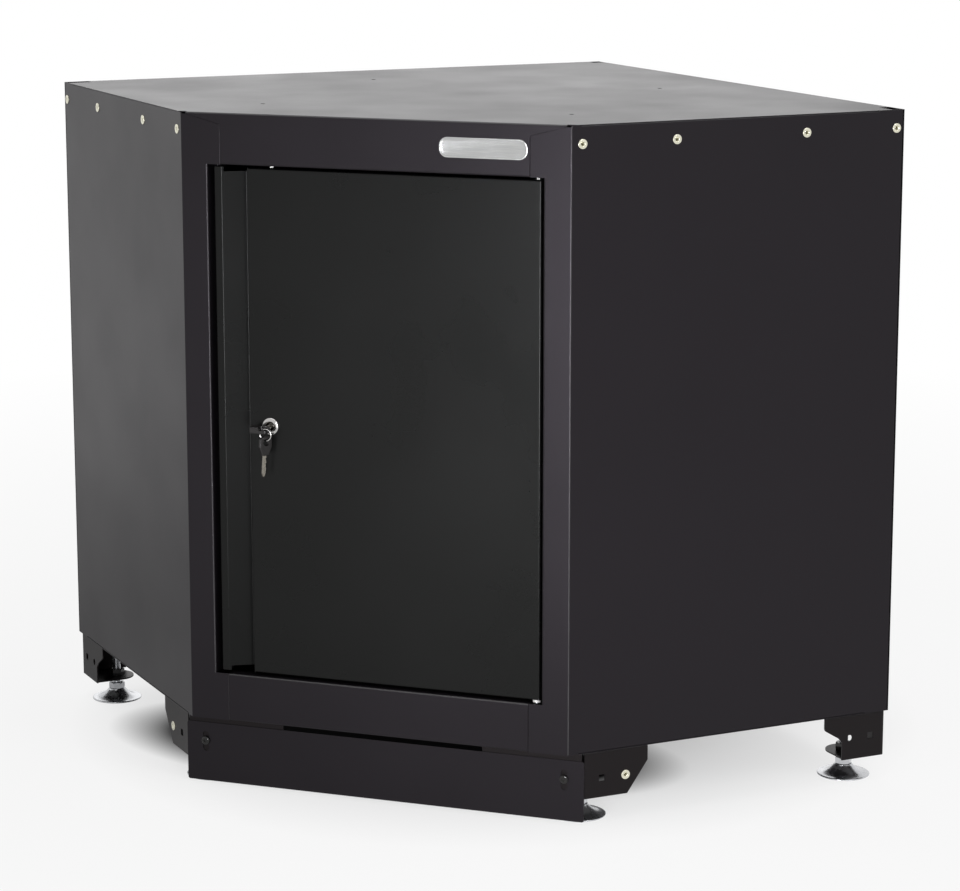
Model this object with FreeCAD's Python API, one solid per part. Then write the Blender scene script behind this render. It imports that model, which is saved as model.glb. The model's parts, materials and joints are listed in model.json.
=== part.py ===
import FreeCAD, Part
import math
import os

os.makedirs("parts", exist_ok=True)

# Sizes in millimetres, +Z up, the door faces -Y and the room corner lies towards +Y.
# Every function works with the front face on y = 0, and export moves the part to its origin.
WALL = 865.0
SIDE_DEPTH = 488.0
BODY_HEIGHT = 816.0
LEG_HEIGHT = 96.0
KEY_REACH = 16.8
THROUGH = 4.0
TOLERANCE = 0.01
SHEET = 1.0
BEND = 1.5
FLANGE = 15.0
FLANGE_BEND = 0.5
CORNER_RELIEF = 14.0
BACK_RELIEF = 38.0
SEAM = 0.3

# Front frame
STILE = 36.6
TOP_RAIL = 67.0
BOTTOM_RAIL = 65.0
EAR = 18.0
EAR_DROP = 15.0
EAR_ROUND = 0.6
RAIL_RETURN = 16.0
JAMB_DEPTH = 29.5
HINGE_JAMB = 20.0
STOP_LIP = 12.0
REAR_FLANGE = 20.0

# Top panel details
CORNER_NOTCH = 6.5
NOTCH_ALONG_BACK = 35.0
NOTCH_ALONG_SIDE = 17.0
REAR_NOTCH = 18.0
WORKTOP_HOLE_X = (-209.0, 223.0)
WORKTOP_HOLE_Y = (134.0, 534.0)
WORKTOP_HOLE_R = 3.25

# Door
HINGE_GAP = 4.2
LOCK_GAP = 5.8
END_GAP = 3.6
DOOR_RECESS = 6.0
DOOR_THICKNESS = 21.0
LIP_WIDTH = 11.0
PULL_WIDTH = 35.5
PULL_RAMP = 28.5
PULL_DEPTH = 16.0
PULL_END_CUT = 6.0
DOOR_FLANGE = 20.0
STIFFENER_X = 30.0
STIFFENER_WIDTH = 60.0
STIFFENER_DEPTH = 18.0
STIFFENER_FOOT = 15.0
STIFFENER_MARGIN = 40.0

# Hinge
PIN_FROM_EDGE = 6.5
PIN_FROM_FACE = 7.0
PIN_R = 2.4
PIN_HEAD_R = 5.0
PIN_HEAD = 4.0
PIN_REACH = 16.0
RUNNING = 0.05
LOOSE = 0.2
BUSH_R = 3.8
UPPER_COLLAR_R = 4.4
LOWER_COLLAR_R = 5.0
BUSH_COLLAR = 1.2
BUSH_LENGTH = 5.0
WASHER_R = 5.0
FACE_GAP = 0.1
GLIDE_X = -143.0
GLIDE_DEPTH = 9.0
GLIDE_R = 2.4
GLIDE_GAP = 0.8
GLIDE_ROUND = 1.4
GLIDE_STEM_R = 1.5
BUFFER_R = 3.5
BUFFER_HEIGHT = 2.0
BUFFER_ROUND = 1.0
BUFFER_FROM_END = 40.0

# Lock, keys and ring
LOCK_X = -148.0
LOCK_FROM_TOP = 409.5
LOCK_FACE_R = 11.5
LOCK_FACE = 3.0
LOCK_FACE_ROUND = 1.2
LOCK_MOUTH_R = 9.2
LOCK_BARREL_R = 9.3
LOCK_BARREL_END = 31.5
LOCK_NUT_FLAT = 24.0
LOCK_NUT = 4.0
PLUG_R = 7.3
PLUG_SET_BACK = 2.8
KEYWAY_WIDTH = 7.6
KEYWAY_HEIGHT = 2.4
KEYWAY_END = 27.5
TANG = 7.0
CAM_START = 32.0
CAM_THICKNESS = 2.5
CAM_WIDTH = 16.0
CAM_REACH = 92.0
CAM_END_R = 7.2
CAM_TIP_R = 4.0
CAM_SCREW_R = 5.0
CAM_SCREW_HEAD = 3.0
CAM_SCREW_SHANK_R = 2.0
CAM_SCREW_LENGTH = 10.0
CAM_SCREW_SLOT = 1.2
BLADE_WIDTH = 7.2
BLADE_THICKNESS = 2.0
BLADE_LENGTH = 27.0
BLADE_TIP = 3.0
BOW_BACK = -1.0
BOW_DEPTH = 14.0
BOW_LEFT = -23.5
BOW_RIGHT = 4.0
BOW_THICKNESS = 9.0
BOW_DROP = 3.1
BOW_CORNER = 5.0
BOW_ROUND = 1.8
BOW_HOLE_X = -7.5
BOW_HOLE_R = 3.1
POCKET_LEFT = -9.4
POCKET_FLOOR = -3.2
POCKET_BACK = -5.2
WEB_RIGHT = 0.7
BLADE_IN_BOW = 3.0
RING_R = 7.7
RING_WIRE_R = 0.8
RING_X = -1.8
RING_DROP = 9.5
SPARE_TURN = 35.0
SPARE_LEAN = 4.5
SPARE_HOLE_R = 5.0
SPARE_HANG = 1.5
SPARE_BOW_ABOVE = 7.4
SPARE_BOW_WIDTH = 18.0
SPARE_BOW_HEIGHT = 25.6
SPARE_BOW_THICKNESS = 5.4
SPARE_BOW_CORNER = 6.0
SPARE_BOW_ROUND = 1.3
SPARE_NECK = 10.0
SPARE_NECK_R = 1.5
SPARE_SHOULDER = 11.2
SPARE_SHOULDER_R = 4.0
SPARE_BLADE_WIDTH = 6.4
SPARE_BLADE_LENGTH = 29.0
SPARE_BLADE_IN_BOW = 6.0

# Oblong plate on the top rail
PLATE_X = 150.0
PLATE_FROM_TOP = 33.0
PLATE_LENGTH = 118.0
PLATE_HEIGHT = 26.0
PLATE_THICKNESS = 1.6
PLATE_CORNER = 11.0
PLATE_RIM = 2.2
PLATE_RECESS = 0.5

# Rivet nuts and rivets
SIDE_NUT_ALONG = (15.5, 149.5, 340.0, 476.5)
SIDE_NUT_FROM_TOP = 24.0
NUT_FLANGE_R = 6.3
NUT_FLANGE = 1.0
NUT_BODY_R = 4.5
NUT_BODY = 13.0
NUT_BORE_R = 2.5
RIVET_HEAD_R = 3.5
RIVET_HEAD = 1.2
RIVET_ROUND = 0.95
RIVET_R = 1.6
RIVET_TAIL = 3.0
RIVET_ROWS = 5
RIVET_END = 60.0

# Shelf
SHELF_Z = 470.0
SHELF_CLEARANCE = 4.0
SHELF_FRONT = 60.0
SHELF_FLANGE = 25.0
SHELF_RELIEF = 24.0
SUPPORT_LENGTH = 50.0
SUPPORT_HEIGHT = 30.0
SUPPORT_ARM = 20.0
SUPPORT_SHEET = 1.5
SUPPORT_SIDE_ALONG = (120.0, 400.0)
SUPPORT_BACK_ALONG = 430.0

# Leg brackets, feet and plinth
BRACKET_SHEET = 2.0
BRACKET_BEND = 2.0
BRACKET_TOP_R = 3.0
BRACKET_INSET = 3.0
BRACKET_DROP = 63.0
BRACKET_ARM = 95.0
BRACKET_FLANGE = 32.0
BRACKET_FRONT_REACH = 142.0
BRACKET_FRONT_EDGE = 22.0
BRACKET_FRONT_SLOPE = 62.0
ARM_EDGE = 18.0
ARM_NOTCH = 23.0
ARM_NOTCH_DROP = 32.0
ARM_FALL = 6.0
ARM_FOOT = 67.0
ARM_EDGE_R = 6.0
ARM_NOTCH_R = 5.0
ARM_FOOT_R = 3.0
HEEL_R = 4.0
FRONT_ARM_EDGE = 21.0
FRONT_ARM_SLOPE = 30.0
SQUARE_HOLE = 9.0
SQUARE_FROM_CORNER = 22.5
HOLE_FROM_CORNER = 55.5
FRONT_SQUARE_ALONG = 51.5
FRONT_NUT_ALONG = 86.0
ROUND_HOLE_R = 4.5
HOLE_DROP = 33.0
FRONT_HOLE_DROP = 37.0
BOLT_R = 3.0
BOLT_FLAT = 10.0
BOLT_HEAD = 4.0
BOLT_NUT = 5.0
BOLT_FROM_EDGE = 18.0
FOOT_INSET = 42.5
FRONT_FOOT_ALONG = 38.0
TAB_R = 25.0
TAB_SHOULDER = 36.5
TAB_SLOPE = math.radians(53.0)
CORNER_SLIT = 3.4
SLIT_BRIDGE = (32.0, 44.0)
STEM_R = 6.0
STEM_HOLE_R = 6.5
STEM_TOP = 86.0
STEM_SOCKET = 8.0
STEM_COLLAR_TOP = 24.0
STEM_FLAT = 20.0
FOOT_NUT = 10.0
PAD_R = 36.0
PAD_EDGE = 2.5
PAD_ROUND = 1.0
CONE_R = 23.0
CONE_TOP_R = 11.5
CONE_TOP = 15.5
PLINTH_FRONT = 18.0
PLINTH_HALF = 282.8
PLINTH_BOTTOM = 2.0
PLINTH_HEIGHT = 82.0
PLINTH_CORNER = 3.0
SLOT_X = 255.5
SLOT_Z = 57.5
SLOT_WIDTH = 8.5
SLOT_LENGTH = 28.0
SCREW_Z = 58.5
SCREW_R = 3.0
SCREW_HEAD_R = 6.0
SCREW_HEAD = 3.3
SCREW_ROUND = 2.3
SCREW_SOCKET_R = 2.0
SCREW_SOCKET = 2.0
SCREW_LENGTH = 12.0
SCREW_NUT_FLAT = 11.0
SCREW_NUT = 5.0

# Derived sizes
DIAG = math.sqrt(0.5)
HALF = (WALL - SIDE_DEPTH) * DIAG
OUT = SIDE_DEPTH * DIAG
BACK = HALF + 2 * OUT
TOP = LEG_HEIGHT + BODY_HEIGHT
OPEN_HALF = HALF - STILE
OPEN_BOTTOM = LEG_HEIGHT + BOTTOM_RAIL
OPEN_TOP = TOP - TOP_RAIL
EAR_X = OPEN_HALF - EAR
DOOR_RIGHT = OPEN_HALF - HINGE_GAP
DOOR_LEFT = LOCK_GAP - OPEN_HALF
DOOR_BOTTOM = OPEN_BOTTOM + END_GAP
DOOR_TOP = OPEN_TOP - END_GAP
DOOR_BACK = DOOR_RECESS + SHEET
PIN_X = DOOR_RIGHT - PIN_FROM_EDGE
PIN_Y = DOOR_RECESS + PIN_FROM_FACE
LOCK_Z = TOP - LOCK_FROM_TOP
SIDE_NUT_Z = TOP - SIDE_NUT_FROM_TOP
LOCK_FRONT = DOOR_RECESS - LOCK_FACE
KEY_Y = BOW_BACK - BOW_DEPTH / 2
BRACKET_BOTTOM = LEG_HEIGHT - BRACKET_DROP
HOLE_Z = LEG_HEIGHT - HOLE_DROP
FRONT_HOLE_Z = LEG_HEIGHT - FRONT_HOLE_DROP
TAB_TOP = BRACKET_BOTTOM + BRACKET_SHEET
TAB_REACH = FOOT_INSET - BRACKET_INSET - BRACKET_SHEET / 2
ORIGIN_Y = (BACK - KEY_REACH) / 2
UP = FreeCAD.Vector(0, 0, 1)
RIGHT = FreeCAD.Vector(1, 0, 0)
INTO = FreeCAD.Vector(0, 1, 0)
SIDE_IN = FreeCAD.Vector(-DIAG, DIAG, 0)
SIDE_ALONG = FreeCAD.Vector(DIAG, DIAG, 0)
BACK_IN = FreeCAD.Vector(-DIAG, -DIAG, 0)
BACK_ALONG = FreeCAD.Vector(-DIAG, DIAG, 0)


# Helpers
def point(x, y, z):
    return FreeCAD.Vector(x, y, z)


def unit(a, b):
    length = math.hypot(b[0] - a[0], b[1] - a[1])
    return ((b[0] - a[0]) / length, (b[1] - a[1]) / length)


def rounded_face(points, radii):
    """Flat face on z = 0 with each corner rounded by its radius."""
    count = len(points)
    edges = []
    ends = []
    for i in range(count):
        before = unit(points[i], points[i - 1])
        after = unit(points[i], points[(i + 1) % count])
        cosine = before[0] * after[0] + before[1] * after[1]
        half = math.acos(max(-1.0, min(1.0, cosine))) / 2
        corner = FreeCAD.Vector(points[i][0], points[i][1], 0)
        reach = radii[i] / math.tan(half)
        enter = corner + FreeCAD.Vector(before[0], before[1], 0) * reach
        leave = corner + FreeCAD.Vector(after[0], after[1], 0) * reach
        if radii[i] > 0:
            middle = FreeCAD.Vector(before[0] + after[0], before[1] + after[1], 0)
            middle.normalize()
            crown = corner + middle * (radii[i] / math.sin(half) - radii[i])
            edges.append(Part.Arc(enter, crown, leave).toShape())
        ends.append((enter, leave))
    for i in range(count):
        start = ends[i][1]
        stop = ends[(i + 1) % count][0]
        if start.distanceToPoint(stop) > TOLERANCE:
            edges.append(Part.makeLine(start, stop))
    return Part.Face(Part.Wire(Part.__sortEdges__(edges)))


def offset_left(path, distance):
    """Open path moved to its left by a distance, with mitred corners."""
    moved = []
    for i in range(len(path)):
        into = unit(path[i - 1], path[i]) if i > 0 else unit(path[0], path[1])
        out = unit(path[i], path[i + 1]) if i < len(path) - 1 else into
        normal = (-into[1] - out[1], into[0] + out[0])
        scale = distance / (1 + into[0] * out[0] + into[1] * out[1])
        moved.append((path[i][0] + normal[0] * scale, path[i][1] + normal[1] * scale))
    return moved


def strip_face(path, thickness, bend, start_round=0.0):
    """Folded strip left of a path, with bends of one inner radius and its outer starting edge rounded."""
    inner = offset_left(path, thickness)
    right_radii = []
    left_radii = []
    for i in range(len(path)):
        if i in (0, len(path) - 1) or bend == 0:
            right_radii.append(0.0)
            left_radii.append(0.0)
            continue
        into = unit(path[i - 1], path[i])
        out = unit(path[i], path[i + 1])
        left_turn = into[0] * out[1] - into[1] * out[0] > 0
        right_radii.append(bend + thickness if left_turn else bend)
        left_radii.append(bend if left_turn else bend + thickness)
    right_radii[0] = start_round
    points = list(path) + inner[::-1]
    return rounded_face(points, right_radii + left_radii[::-1])


def raise_face(face, bottom, top):
    solid = face.extrude(UP * (top - bottom))
    solid.translate(UP * bottom)
    return solid


def prism(points, bottom, top):
    return raise_face(rounded_face(points, [0.0] * len(points)), bottom, top)


def stand(shape, origin, right, up):
    """Turns local x, y, z to the directions right, up and right x up, at an origin."""
    out = right.cross(up)
    matrix = FreeCAD.Matrix(
        right.x, up.x, out.x, origin.x,
        right.y, up.y, out.y, origin.y,
        right.z, up.z, out.z, origin.z,
        0, 0, 0, 1)
    placed = shape.copy()
    placed.Placement = FreeCAD.Placement(matrix).multiply(placed.Placement)
    return placed


def box(x0, x1, y0, y1, z0, z1):
    return Part.makeBox(x1 - x0, y1 - y0, z1 - z0, point(x0, y0, z0))


def rod(radius, start, stop):
    axis = stop - start
    return Part.makeCylinder(radius, axis.Length, start, axis)


def hole(radius, centre, axis):
    """Cutter for a round hole through a sheet."""
    return rod(radius, centre - axis * THROUGH, centre + axis * THROUGH)


def hexagon(flat, start, stop):
    """Hexagonal prism with a width across its flats, between two points."""
    radius = flat / math.sqrt(3)
    corners = [(radius * math.cos(math.radians(60 * i)), radius * math.sin(math.radians(60 * i)))
               for i in range(6)]
    axis = stop - start
    solid = prism(corners, 0, axis.Length)
    axis.normalize()
    side = INTO if abs(axis.dot(RIGHT)) > DIAG else RIGHT
    return stand(solid, start, side, axis.cross(side))


def rim_at(shape, centre):
    """Circular edge of a shape round a point."""
    return [e for e in shape.Edges if e.BoundBox.Center.distanceToPoint(centre) < TOLERANCE]


def mirrored(shape):
    return shape.mirror(point(0, 0, 0), RIGHT)


def both_sides(shape):
    return [shape, mirrored(shape)]


def joined(shapes):
    return shapes[0].fuse(shapes[1:]).removeSplitter() if len(shapes) > 1 else shapes[0]


def cut_all(shape, tools):
    return shape.cut(tools).removeSplitter()


def side_point(along, inset, z):
    """Point on the right side wall, measured back from the front corner and inwards."""
    return point(HALF, 0, z) + SIDE_ALONG * along + SIDE_IN * inset


def back_point(along, inset, z):
    """Point on the right back wall, measured from the side corner and inwards."""
    return point(HALF + OUT, OUT, z) + BACK_ALONG * along + BACK_IN * inset


def hinge_point(z):
    return point(PIN_X, PIN_Y, z)


def plan(vector):
    return (vector.x, vector.y)


def body_outline():
    """Plan outline of the body, from the left front corner anticlockwise."""
    return [(-HALF, 0), (HALF, 0), (HALF + OUT, OUT), (0, BACK), (-HALF - OUT, OUT)]


# Sheet body
def wall_flange(depth, length, bend, origin, inward, at_top):
    """Bent flange along the top or bottom edge of a wall, and the corner that it takes over."""
    sign = -1 if at_top else 1
    reach = (SHEET + bend) * sign
    path = [(depth, 0), (0, 0), (0, reach)]
    path = path if at_top else path[::-1]
    flange = raise_face(strip_face(path, SHEET, bend), 0, length)
    corner = Part.makeBox(SHEET + bend, abs(reach), length, point(0, min(0, reach), 0))
    return stand(flange, origin, inward, UP), stand(corner, origin, inward, UP)


def with_flanges(panel, start_at, inward, start, stop):
    """Adds the inward flanges at the top and bottom of a wall, between two distances along it."""
    for z, at_top in ((TOP - SHEET, True), (LEG_HEIGHT + SHEET, False)):
        origin = start_at(start, 0, z)
        flange, corner = wall_flange(FLANGE, stop - start, FLANGE_BEND, origin, inward, at_top)
        panel = panel.cut(corner).fuse(flange)
    return panel.removeSplitter()


def rivet_heights():
    step = (BODY_HEIGHT - 2 * RIVET_END) / (RIVET_ROWS - 1)
    return [LEG_HEIGHT + RIVET_END + step * i for i in range(RIVET_ROWS)]


def rivet_places():
    """Rivets as start points on the outer face with the direction into the cabinet."""
    places = []
    for z in rivet_heights():
        places.append((back_point(REAR_FLANGE / 2 + SHEET, 0, z), BACK_IN))
        left = mirrored(Part.Vertex(back_point(REAR_FLANGE / 2 + SHEET, 0, z))).Point
        places.append((left, point(DIAG, -DIAG, 0)))
        corner = mirrored(Part.Vertex(back_point(WALL - REAR_FLANGE / 2 - SHEET, 0, z))).Point
        places.append((corner, point(DIAG, -DIAG, 0)))
    return places


def rivet_holes():
    return [hole(RIVET_R, start, inward) for start, inward in rivet_places()]


def corner_notches():
    """Cut-outs at the three back corners of the top."""
    near = SIDE_DEPTH - NOTCH_ALONG_SIDE
    far = SIDE_DEPTH + SHEET
    outer = [(near, -SHEET), (far, -SHEET), (far, NOTCH_ALONG_BACK), (near, NOTCH_ALONG_BACK)]
    outer = prism([plan(side_point(a, inset, 0)) for a, inset in outer], TOP - 2 * SHEET, TOP + SHEET)
    near = WALL - REAR_NOTCH
    far = WALL + SHEET
    rear = [(near, -SHEET), (far, -SHEET), (far, REAR_NOTCH), (near, REAR_NOTCH)]
    rear = prism([plan(back_point(a, inset, 0)) for a, inset in rear], TOP - 2 * SHEET, TOP + SHEET)
    return both_sides(outer) + [rear]


def corner_tabs(face):
    """Ends of a wall that stand in the cut-outs, level with the top."""
    rim = raise_face(face, TOP - SHEET, TOP)
    tabs = [rim.common(notch) for notch in corner_notches()]
    return [tab for tab in tabs if tab.Volume > TOLERANCE]


def ear_line(lower):
    """Sloping seam from the ear to the front corner, as x and z at both ends."""
    return ((EAR_X, TOP - EAR_DROP - lower), (HALF - CORNER_NOTCH, TOP - SHEET - BEND - lower))


def side_panel(stop_lip):
    """Right side wall, front stile and jamb as one bent sheet."""
    rear = plan(side_point(SIDE_DEPTH - SHEET, 0, 0))
    tail = plan(side_point(SIDE_DEPTH - SHEET, REAR_FLANGE, 0))
    jamb = [(OPEN_HALF, JAMB_DEPTH if stop_lip else HINGE_JAMB), (OPEN_HALF, 0)]
    if stop_lip:
        jamb.insert(0, (OPEN_HALF - STOP_LIP, JAMB_DEPTH))
    wall = [(HALF, 0), rear, tail]
    ear = strip_face([(EAR_X, 0)] + wall, SHEET, BEND, EAR_ROUND)
    middle = raise_face(strip_face(jamb + wall, SHEET, BEND), OPEN_BOTTOM, OPEN_TOP)
    lower = raise_face(ear, LEG_HEIGHT + SHEET, OPEN_BOTTOM)
    upper = raise_face(ear, OPEN_TOP, TOP - SHEET)
    inner, outer = ear_line(SEAM)
    above = [inner, outer, (HALF + SHEET, outer[1]), (HALF + SHEET, TOP), (inner[0] - SHEET, TOP),
             (inner[0] - SHEET, inner[1])]
    waste = stand(prism(above, -SHEET, SHEET + BEND), point(0, 0, 0), RIGHT, UP)
    panel = joined([middle, lower, upper.cut(waste)] + corner_tabs(ear))
    panel = with_flanges(panel, side_point, SIDE_IN, CORNER_RELIEF, SIDE_DEPTH - BACK_RELIEF)
    return panel.cut([hole(NUT_BODY_R, side_point(a, 0, SIDE_NUT_Z), SIDE_IN) for a in SIDE_NUT_ALONG])


def left_side_panel():
    return mirrored(side_panel(True)).cut(rivet_holes() + buffer_holes())


def right_side_panel():
    return side_panel(False).cut(rivet_holes())


def back_panel(overlap):
    """Right back wall, with a flange round the back corner where it overlaps the other wall."""
    inset = SHEET if overlap else 0
    path = [plan(back_point(0, 0, 0)), plan(back_point(WALL - inset, 0, 0))]
    if overlap:
        path.append(plan(back_point(WALL - inset, REAR_FLANGE, 0)))
    face = strip_face(path, SHEET, BEND)
    panel = joined([raise_face(face, LEG_HEIGHT + SHEET, TOP - SHEET)] + corner_tabs(face))
    return with_flanges(panel, back_point, BACK_IN, BACK_RELIEF, WALL - BACK_RELIEF)


def right_back_panel():
    return back_panel(True).cut(rivet_holes())


def left_back_panel():
    return mirrored(back_panel(False)).cut(rivet_holes())


def back_rivets():
    solids = []
    for start, inward in rivet_places():
        shank = rod(RIVET_R, start, start + inward * RIVET_TAIL)
        head = rod(RIVET_HEAD_R, start - inward * RIVET_HEAD, start)
        head = head.makeFillet(RIVET_ROUND, rim_at(head, start - inward * RIVET_HEAD))
        solids.append(head.fuse(shank).removeSplitter())
    return Part.makeCompound(solids)


def front_strip(path, half):
    """Strip folded in the y and z directions, running along x from -half to half."""
    face = strip_face(path, SHEET, BEND)
    return stand(raise_face(face, -half, half), point(0, 0, 0), INTO, UP)


def front_window(points):
    """Block with a front-view outline, deep enough for the rails."""
    block = prism(points, -RAIL_RETURN * 2, SHEET)
    return stand(block, point(0, 0, 0), RIGHT, UP)


def top_panel():
    """Flat top bent down at the front into the top rail with its return."""
    half = HALF - CORNER_NOTCH
    front = SHEET + BEND
    wide = HALF + CORNER_NOTCH
    outline = [(-half, CORNER_NOTCH), (-half, front), (half, front), (half, CORNER_NOTCH), (wide, CORNER_NOTCH)]
    outline += body_outline()[2:] + [(-wide, CORNER_NOTCH)]
    sheet = prism(outline, TOP - SHEET, TOP)
    path = [(front, TOP), (0, TOP), (0, OPEN_TOP), (RAIL_RETURN, OPEN_TOP)]
    inner, outer = ear_line(0)
    window = [(EAR_X - SEAM, OPEN_TOP), (EAR_X - SEAM, inner[1]), outer, (outer[0], TOP)]
    window += [(-x, z) for x, z in window[::-1]]
    rail = front_strip(path, half).common(front_window(window))
    holes = [hole(WORKTOP_HOLE_R, point(x, y, TOP), UP)
             for x in WORKTOP_HOLE_X for y in WORKTOP_HOLE_Y]
    holes.append(hole(PIN_R + LOOSE, hinge_point(OPEN_TOP), UP))
    holes.append(hole(GLIDE_STEM_R, point(GLIDE_X, GLIDE_DEPTH, OPEN_TOP), UP))
    return cut_all(joined([sheet, rail]), holes + corner_notches())


def bottom_panel():
    """Flat bottom bent up at the front into the bottom rail with its return."""
    front = SHEET + BEND
    half = EAR_X - SEAM
    outline = [(-half, 0), (-half, front), (half, front), (half, 0)] + body_outline()[1:] + [(-HALF, 0)]
    sheet = prism(outline, LEG_HEIGHT, LEG_HEIGHT + SHEET)
    path = [(RAIL_RETURN, OPEN_BOTTOM), (0, OPEN_BOTTOM), (0, LEG_HEIGHT), (front, LEG_HEIGHT)]
    rail = front_strip(path, half)
    pin = hole(PIN_R + LOOSE, hinge_point(OPEN_BOTTOM), UP)
    return cut_all(joined([sheet, rail]), [pin] + bolt_holes())


# Shelf
def shelf():
    """Shelf plate with its edges turned down, cut back at the corners."""
    wide = HALF + OUT - SHELF_CLEARANCE / DIAG
    front_half = HALF + SHELF_FRONT - SHELF_CLEARANCE / DIAG
    corners = [(-front_half, SHELF_FRONT), (front_half, SHELF_FRONT), (wide, OUT),
               (0, BACK - SHELF_CLEARANCE / DIAG), (-wide, OUT)]
    pieces = [prism(offset_ring(corners, SHEET + BEND), SHELF_Z - SHEET, SHELF_Z)]
    profile = strip_face([(SHEET + BEND, 0), (0, 0), (0, -SHELF_FLANGE)], SHEET, BEND)
    for i in range(len(corners)):
        start = corners[i]
        run = unit(start, corners[(i + 1) % len(corners)])
        length = math.dist(start, corners[(i + 1) % len(corners)]) - 2 * SHELF_RELIEF
        along = FreeCAD.Vector(run[0], run[1], 0)
        inward = FreeCAD.Vector(-run[1], run[0], 0)
        origin = point(start[0], start[1], SHELF_Z) + along * SHELF_RELIEF
        pieces.append(stand(raise_face(profile, 0, length), origin, inward, UP))
    return joined(pieces)


def offset_ring(corners, distance):
    """Closed outline, anticlockwise, moved inwards by a distance."""
    loop = [corners[-1]] + list(corners) + [corners[0]]
    return offset_left(loop, distance)[1:-1]


def support(start_at, inward, along):
    """Angle on a wall that carries the shelf edge."""
    arm = SHELF_Z - SHELF_FLANGE
    path = [(SUPPORT_ARM, 0), (0, 0), (0, -SUPPORT_HEIGHT)]
    solid = raise_face(strip_face(path, SUPPORT_SHEET, BEND), 0, SUPPORT_LENGTH)
    return stand(solid, start_at(along - SUPPORT_LENGTH / 2, SHEET, arm), inward, UP)


def shelf_supports():
    right = [support(side_point, SIDE_IN, a) for a in SUPPORT_SIDE_ALONG]
    right.append(support(back_point, BACK_IN, SUPPORT_BACK_ALONG))
    solids = []
    for solid in right:
        solids += both_sides(solid)
    return Part.makeCompound(solids)


# Door
def door_panel():
    """Door as one bent sheet: lip, finger-pull channel, face and both edge returns."""
    back = DOOR_RECESS + DOOR_THICKNESS
    lip_end = DOOR_LEFT + LIP_WIDTH
    face_start = lip_end + PULL_WIDTH
    deep = DOOR_RECESS + PULL_DEPTH
    path = [(DOOR_LEFT, back), (DOOR_LEFT, DOOR_RECESS), (lip_end, DOOR_RECESS)]
    path += [(lip_end + PULL_RAMP, deep), (face_start, deep)]
    path += [(face_start, DOOR_RECESS), (DOOR_RIGHT, DOOR_RECESS), (DOOR_RIGHT, back)]
    panel = raise_face(strip_face(path, SHEET, BEND), DOOR_BOTTOM, DOOR_TOP)
    pull = [box(lip_end + SHEET + BEND, face_start, 0, back, z, z + PULL_END_CUT)
            for z in (DOOR_BOTTOM, DOOR_TOP - PULL_END_CUT)]
    panel = panel.cut(pull)
    start = face_start + SHEET + BEND
    length = DOOR_RIGHT - SHEET - start
    for z, at_top in ((DOOR_TOP, True), (DOOR_BOTTOM, False)):
        origin = point(start + length, DOOR_RECESS, z)
        flange, corner = wall_flange(DOOR_FLANGE, length, BEND, origin, INTO, at_top)
        shift = point(-length, 0, 0)
        flange.translate(shift)
        corner.translate(shift)
        panel = panel.cut(corner).fuse(flange)
    holes = [hole(BUSH_R, hinge_point(z), UP) for z in (DOOR_TOP, DOOR_BOTTOM)]
    return cut_all(panel, holes + [hole(LOCK_BARREL_R, lock_point(0, DOOR_RECESS, 0), INTO)])


def door_stiffener():
    """Hat channel on the inside of the door face."""
    left = STIFFENER_X - STIFFENER_WIDTH / 2
    right = STIFFENER_X + STIFFENER_WIDTH / 2
    deep = DOOR_BACK + STIFFENER_DEPTH
    path = [(left - STIFFENER_FOOT, DOOR_BACK), (left, DOOR_BACK), (left, deep)]
    path += [(right, deep), (right, DOOR_BACK), (right + STIFFENER_FOOT, DOOR_BACK)]
    face = strip_face(path, SHEET, BEND)
    return raise_face(face, DOOR_BOTTOM + STIFFENER_MARGIN, DOOR_TOP - STIFFENER_MARGIN)


def bush(seat, collar_radius, collar, sleeve):
    """Collared bush in a door flange: the collar hangs below the seat, the sleeve stands above it."""
    collar_end = hinge_point(seat - collar)
    sleeve_end = hinge_point(seat + sleeve)
    solid = rod(collar_radius, collar_end, hinge_point(seat)).fuse(rod(BUSH_R, hinge_point(seat), sleeve_end))
    return solid.cut(rod(PIN_R + RUNNING, collar_end, sleeve_end)).removeSplitter()


def upper_hinge_bush():
    return bush(DOOR_TOP - SHEET, UPPER_COLLAR_R, BUSH_LENGTH, SHEET)


def lower_hinge_bush():
    return bush(DOOR_BOTTOM, LOWER_COLLAR_R, BUSH_COLLAR, BUSH_LENGTH)


def hinge_pin(seat, away):
    """Headed pin that stands on a rail return and reaches into the door."""
    head = rod(PIN_HEAD_R, hinge_point(seat), hinge_point(seat + away * PIN_HEAD))
    shank = rod(PIN_R, hinge_point(seat), hinge_point(seat - away * PIN_REACH))
    return head.fuse(shank).removeSplitter()


def upper_hinge_pin():
    return hinge_pin(OPEN_TOP + SHEET, 1)


def lower_hinge_pin():
    return hinge_pin(OPEN_BOTTOM - SHEET, -1)


def lower_hinge_washer():
    start = hinge_point(OPEN_BOTTOM)
    stop = hinge_point(DOOR_BOTTOM - BUSH_COLLAR - FACE_GAP)
    return rod(WASHER_R, start, stop).cut(rod(PIN_R, start, stop))


def door_glide():
    """Glide button under the top rail return, just clear of the door."""
    seat = point(GLIDE_X, GLIDE_DEPTH, OPEN_TOP)
    lowest = point(GLIDE_X, GLIDE_DEPTH, DOOR_TOP + GLIDE_GAP)
    button = rod(GLIDE_R, seat, lowest)
    stem = rod(GLIDE_STEM_R, seat, seat + UP * SHEET)
    return button.makeFillet(GLIDE_ROUND, rim_at(button, lowest)).fuse(stem).removeSplitter()


def buffer_centres():
    x = -OPEN_HALF + STOP_LIP / 2
    return [point(x, JAMB_DEPTH, z) for z in (DOOR_BOTTOM + BUFFER_FROM_END, DOOR_TOP - BUFFER_FROM_END)]


def buffer_holes():
    return [hole(RIVET_R, centre, INTO) for centre in buffer_centres()]


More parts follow.
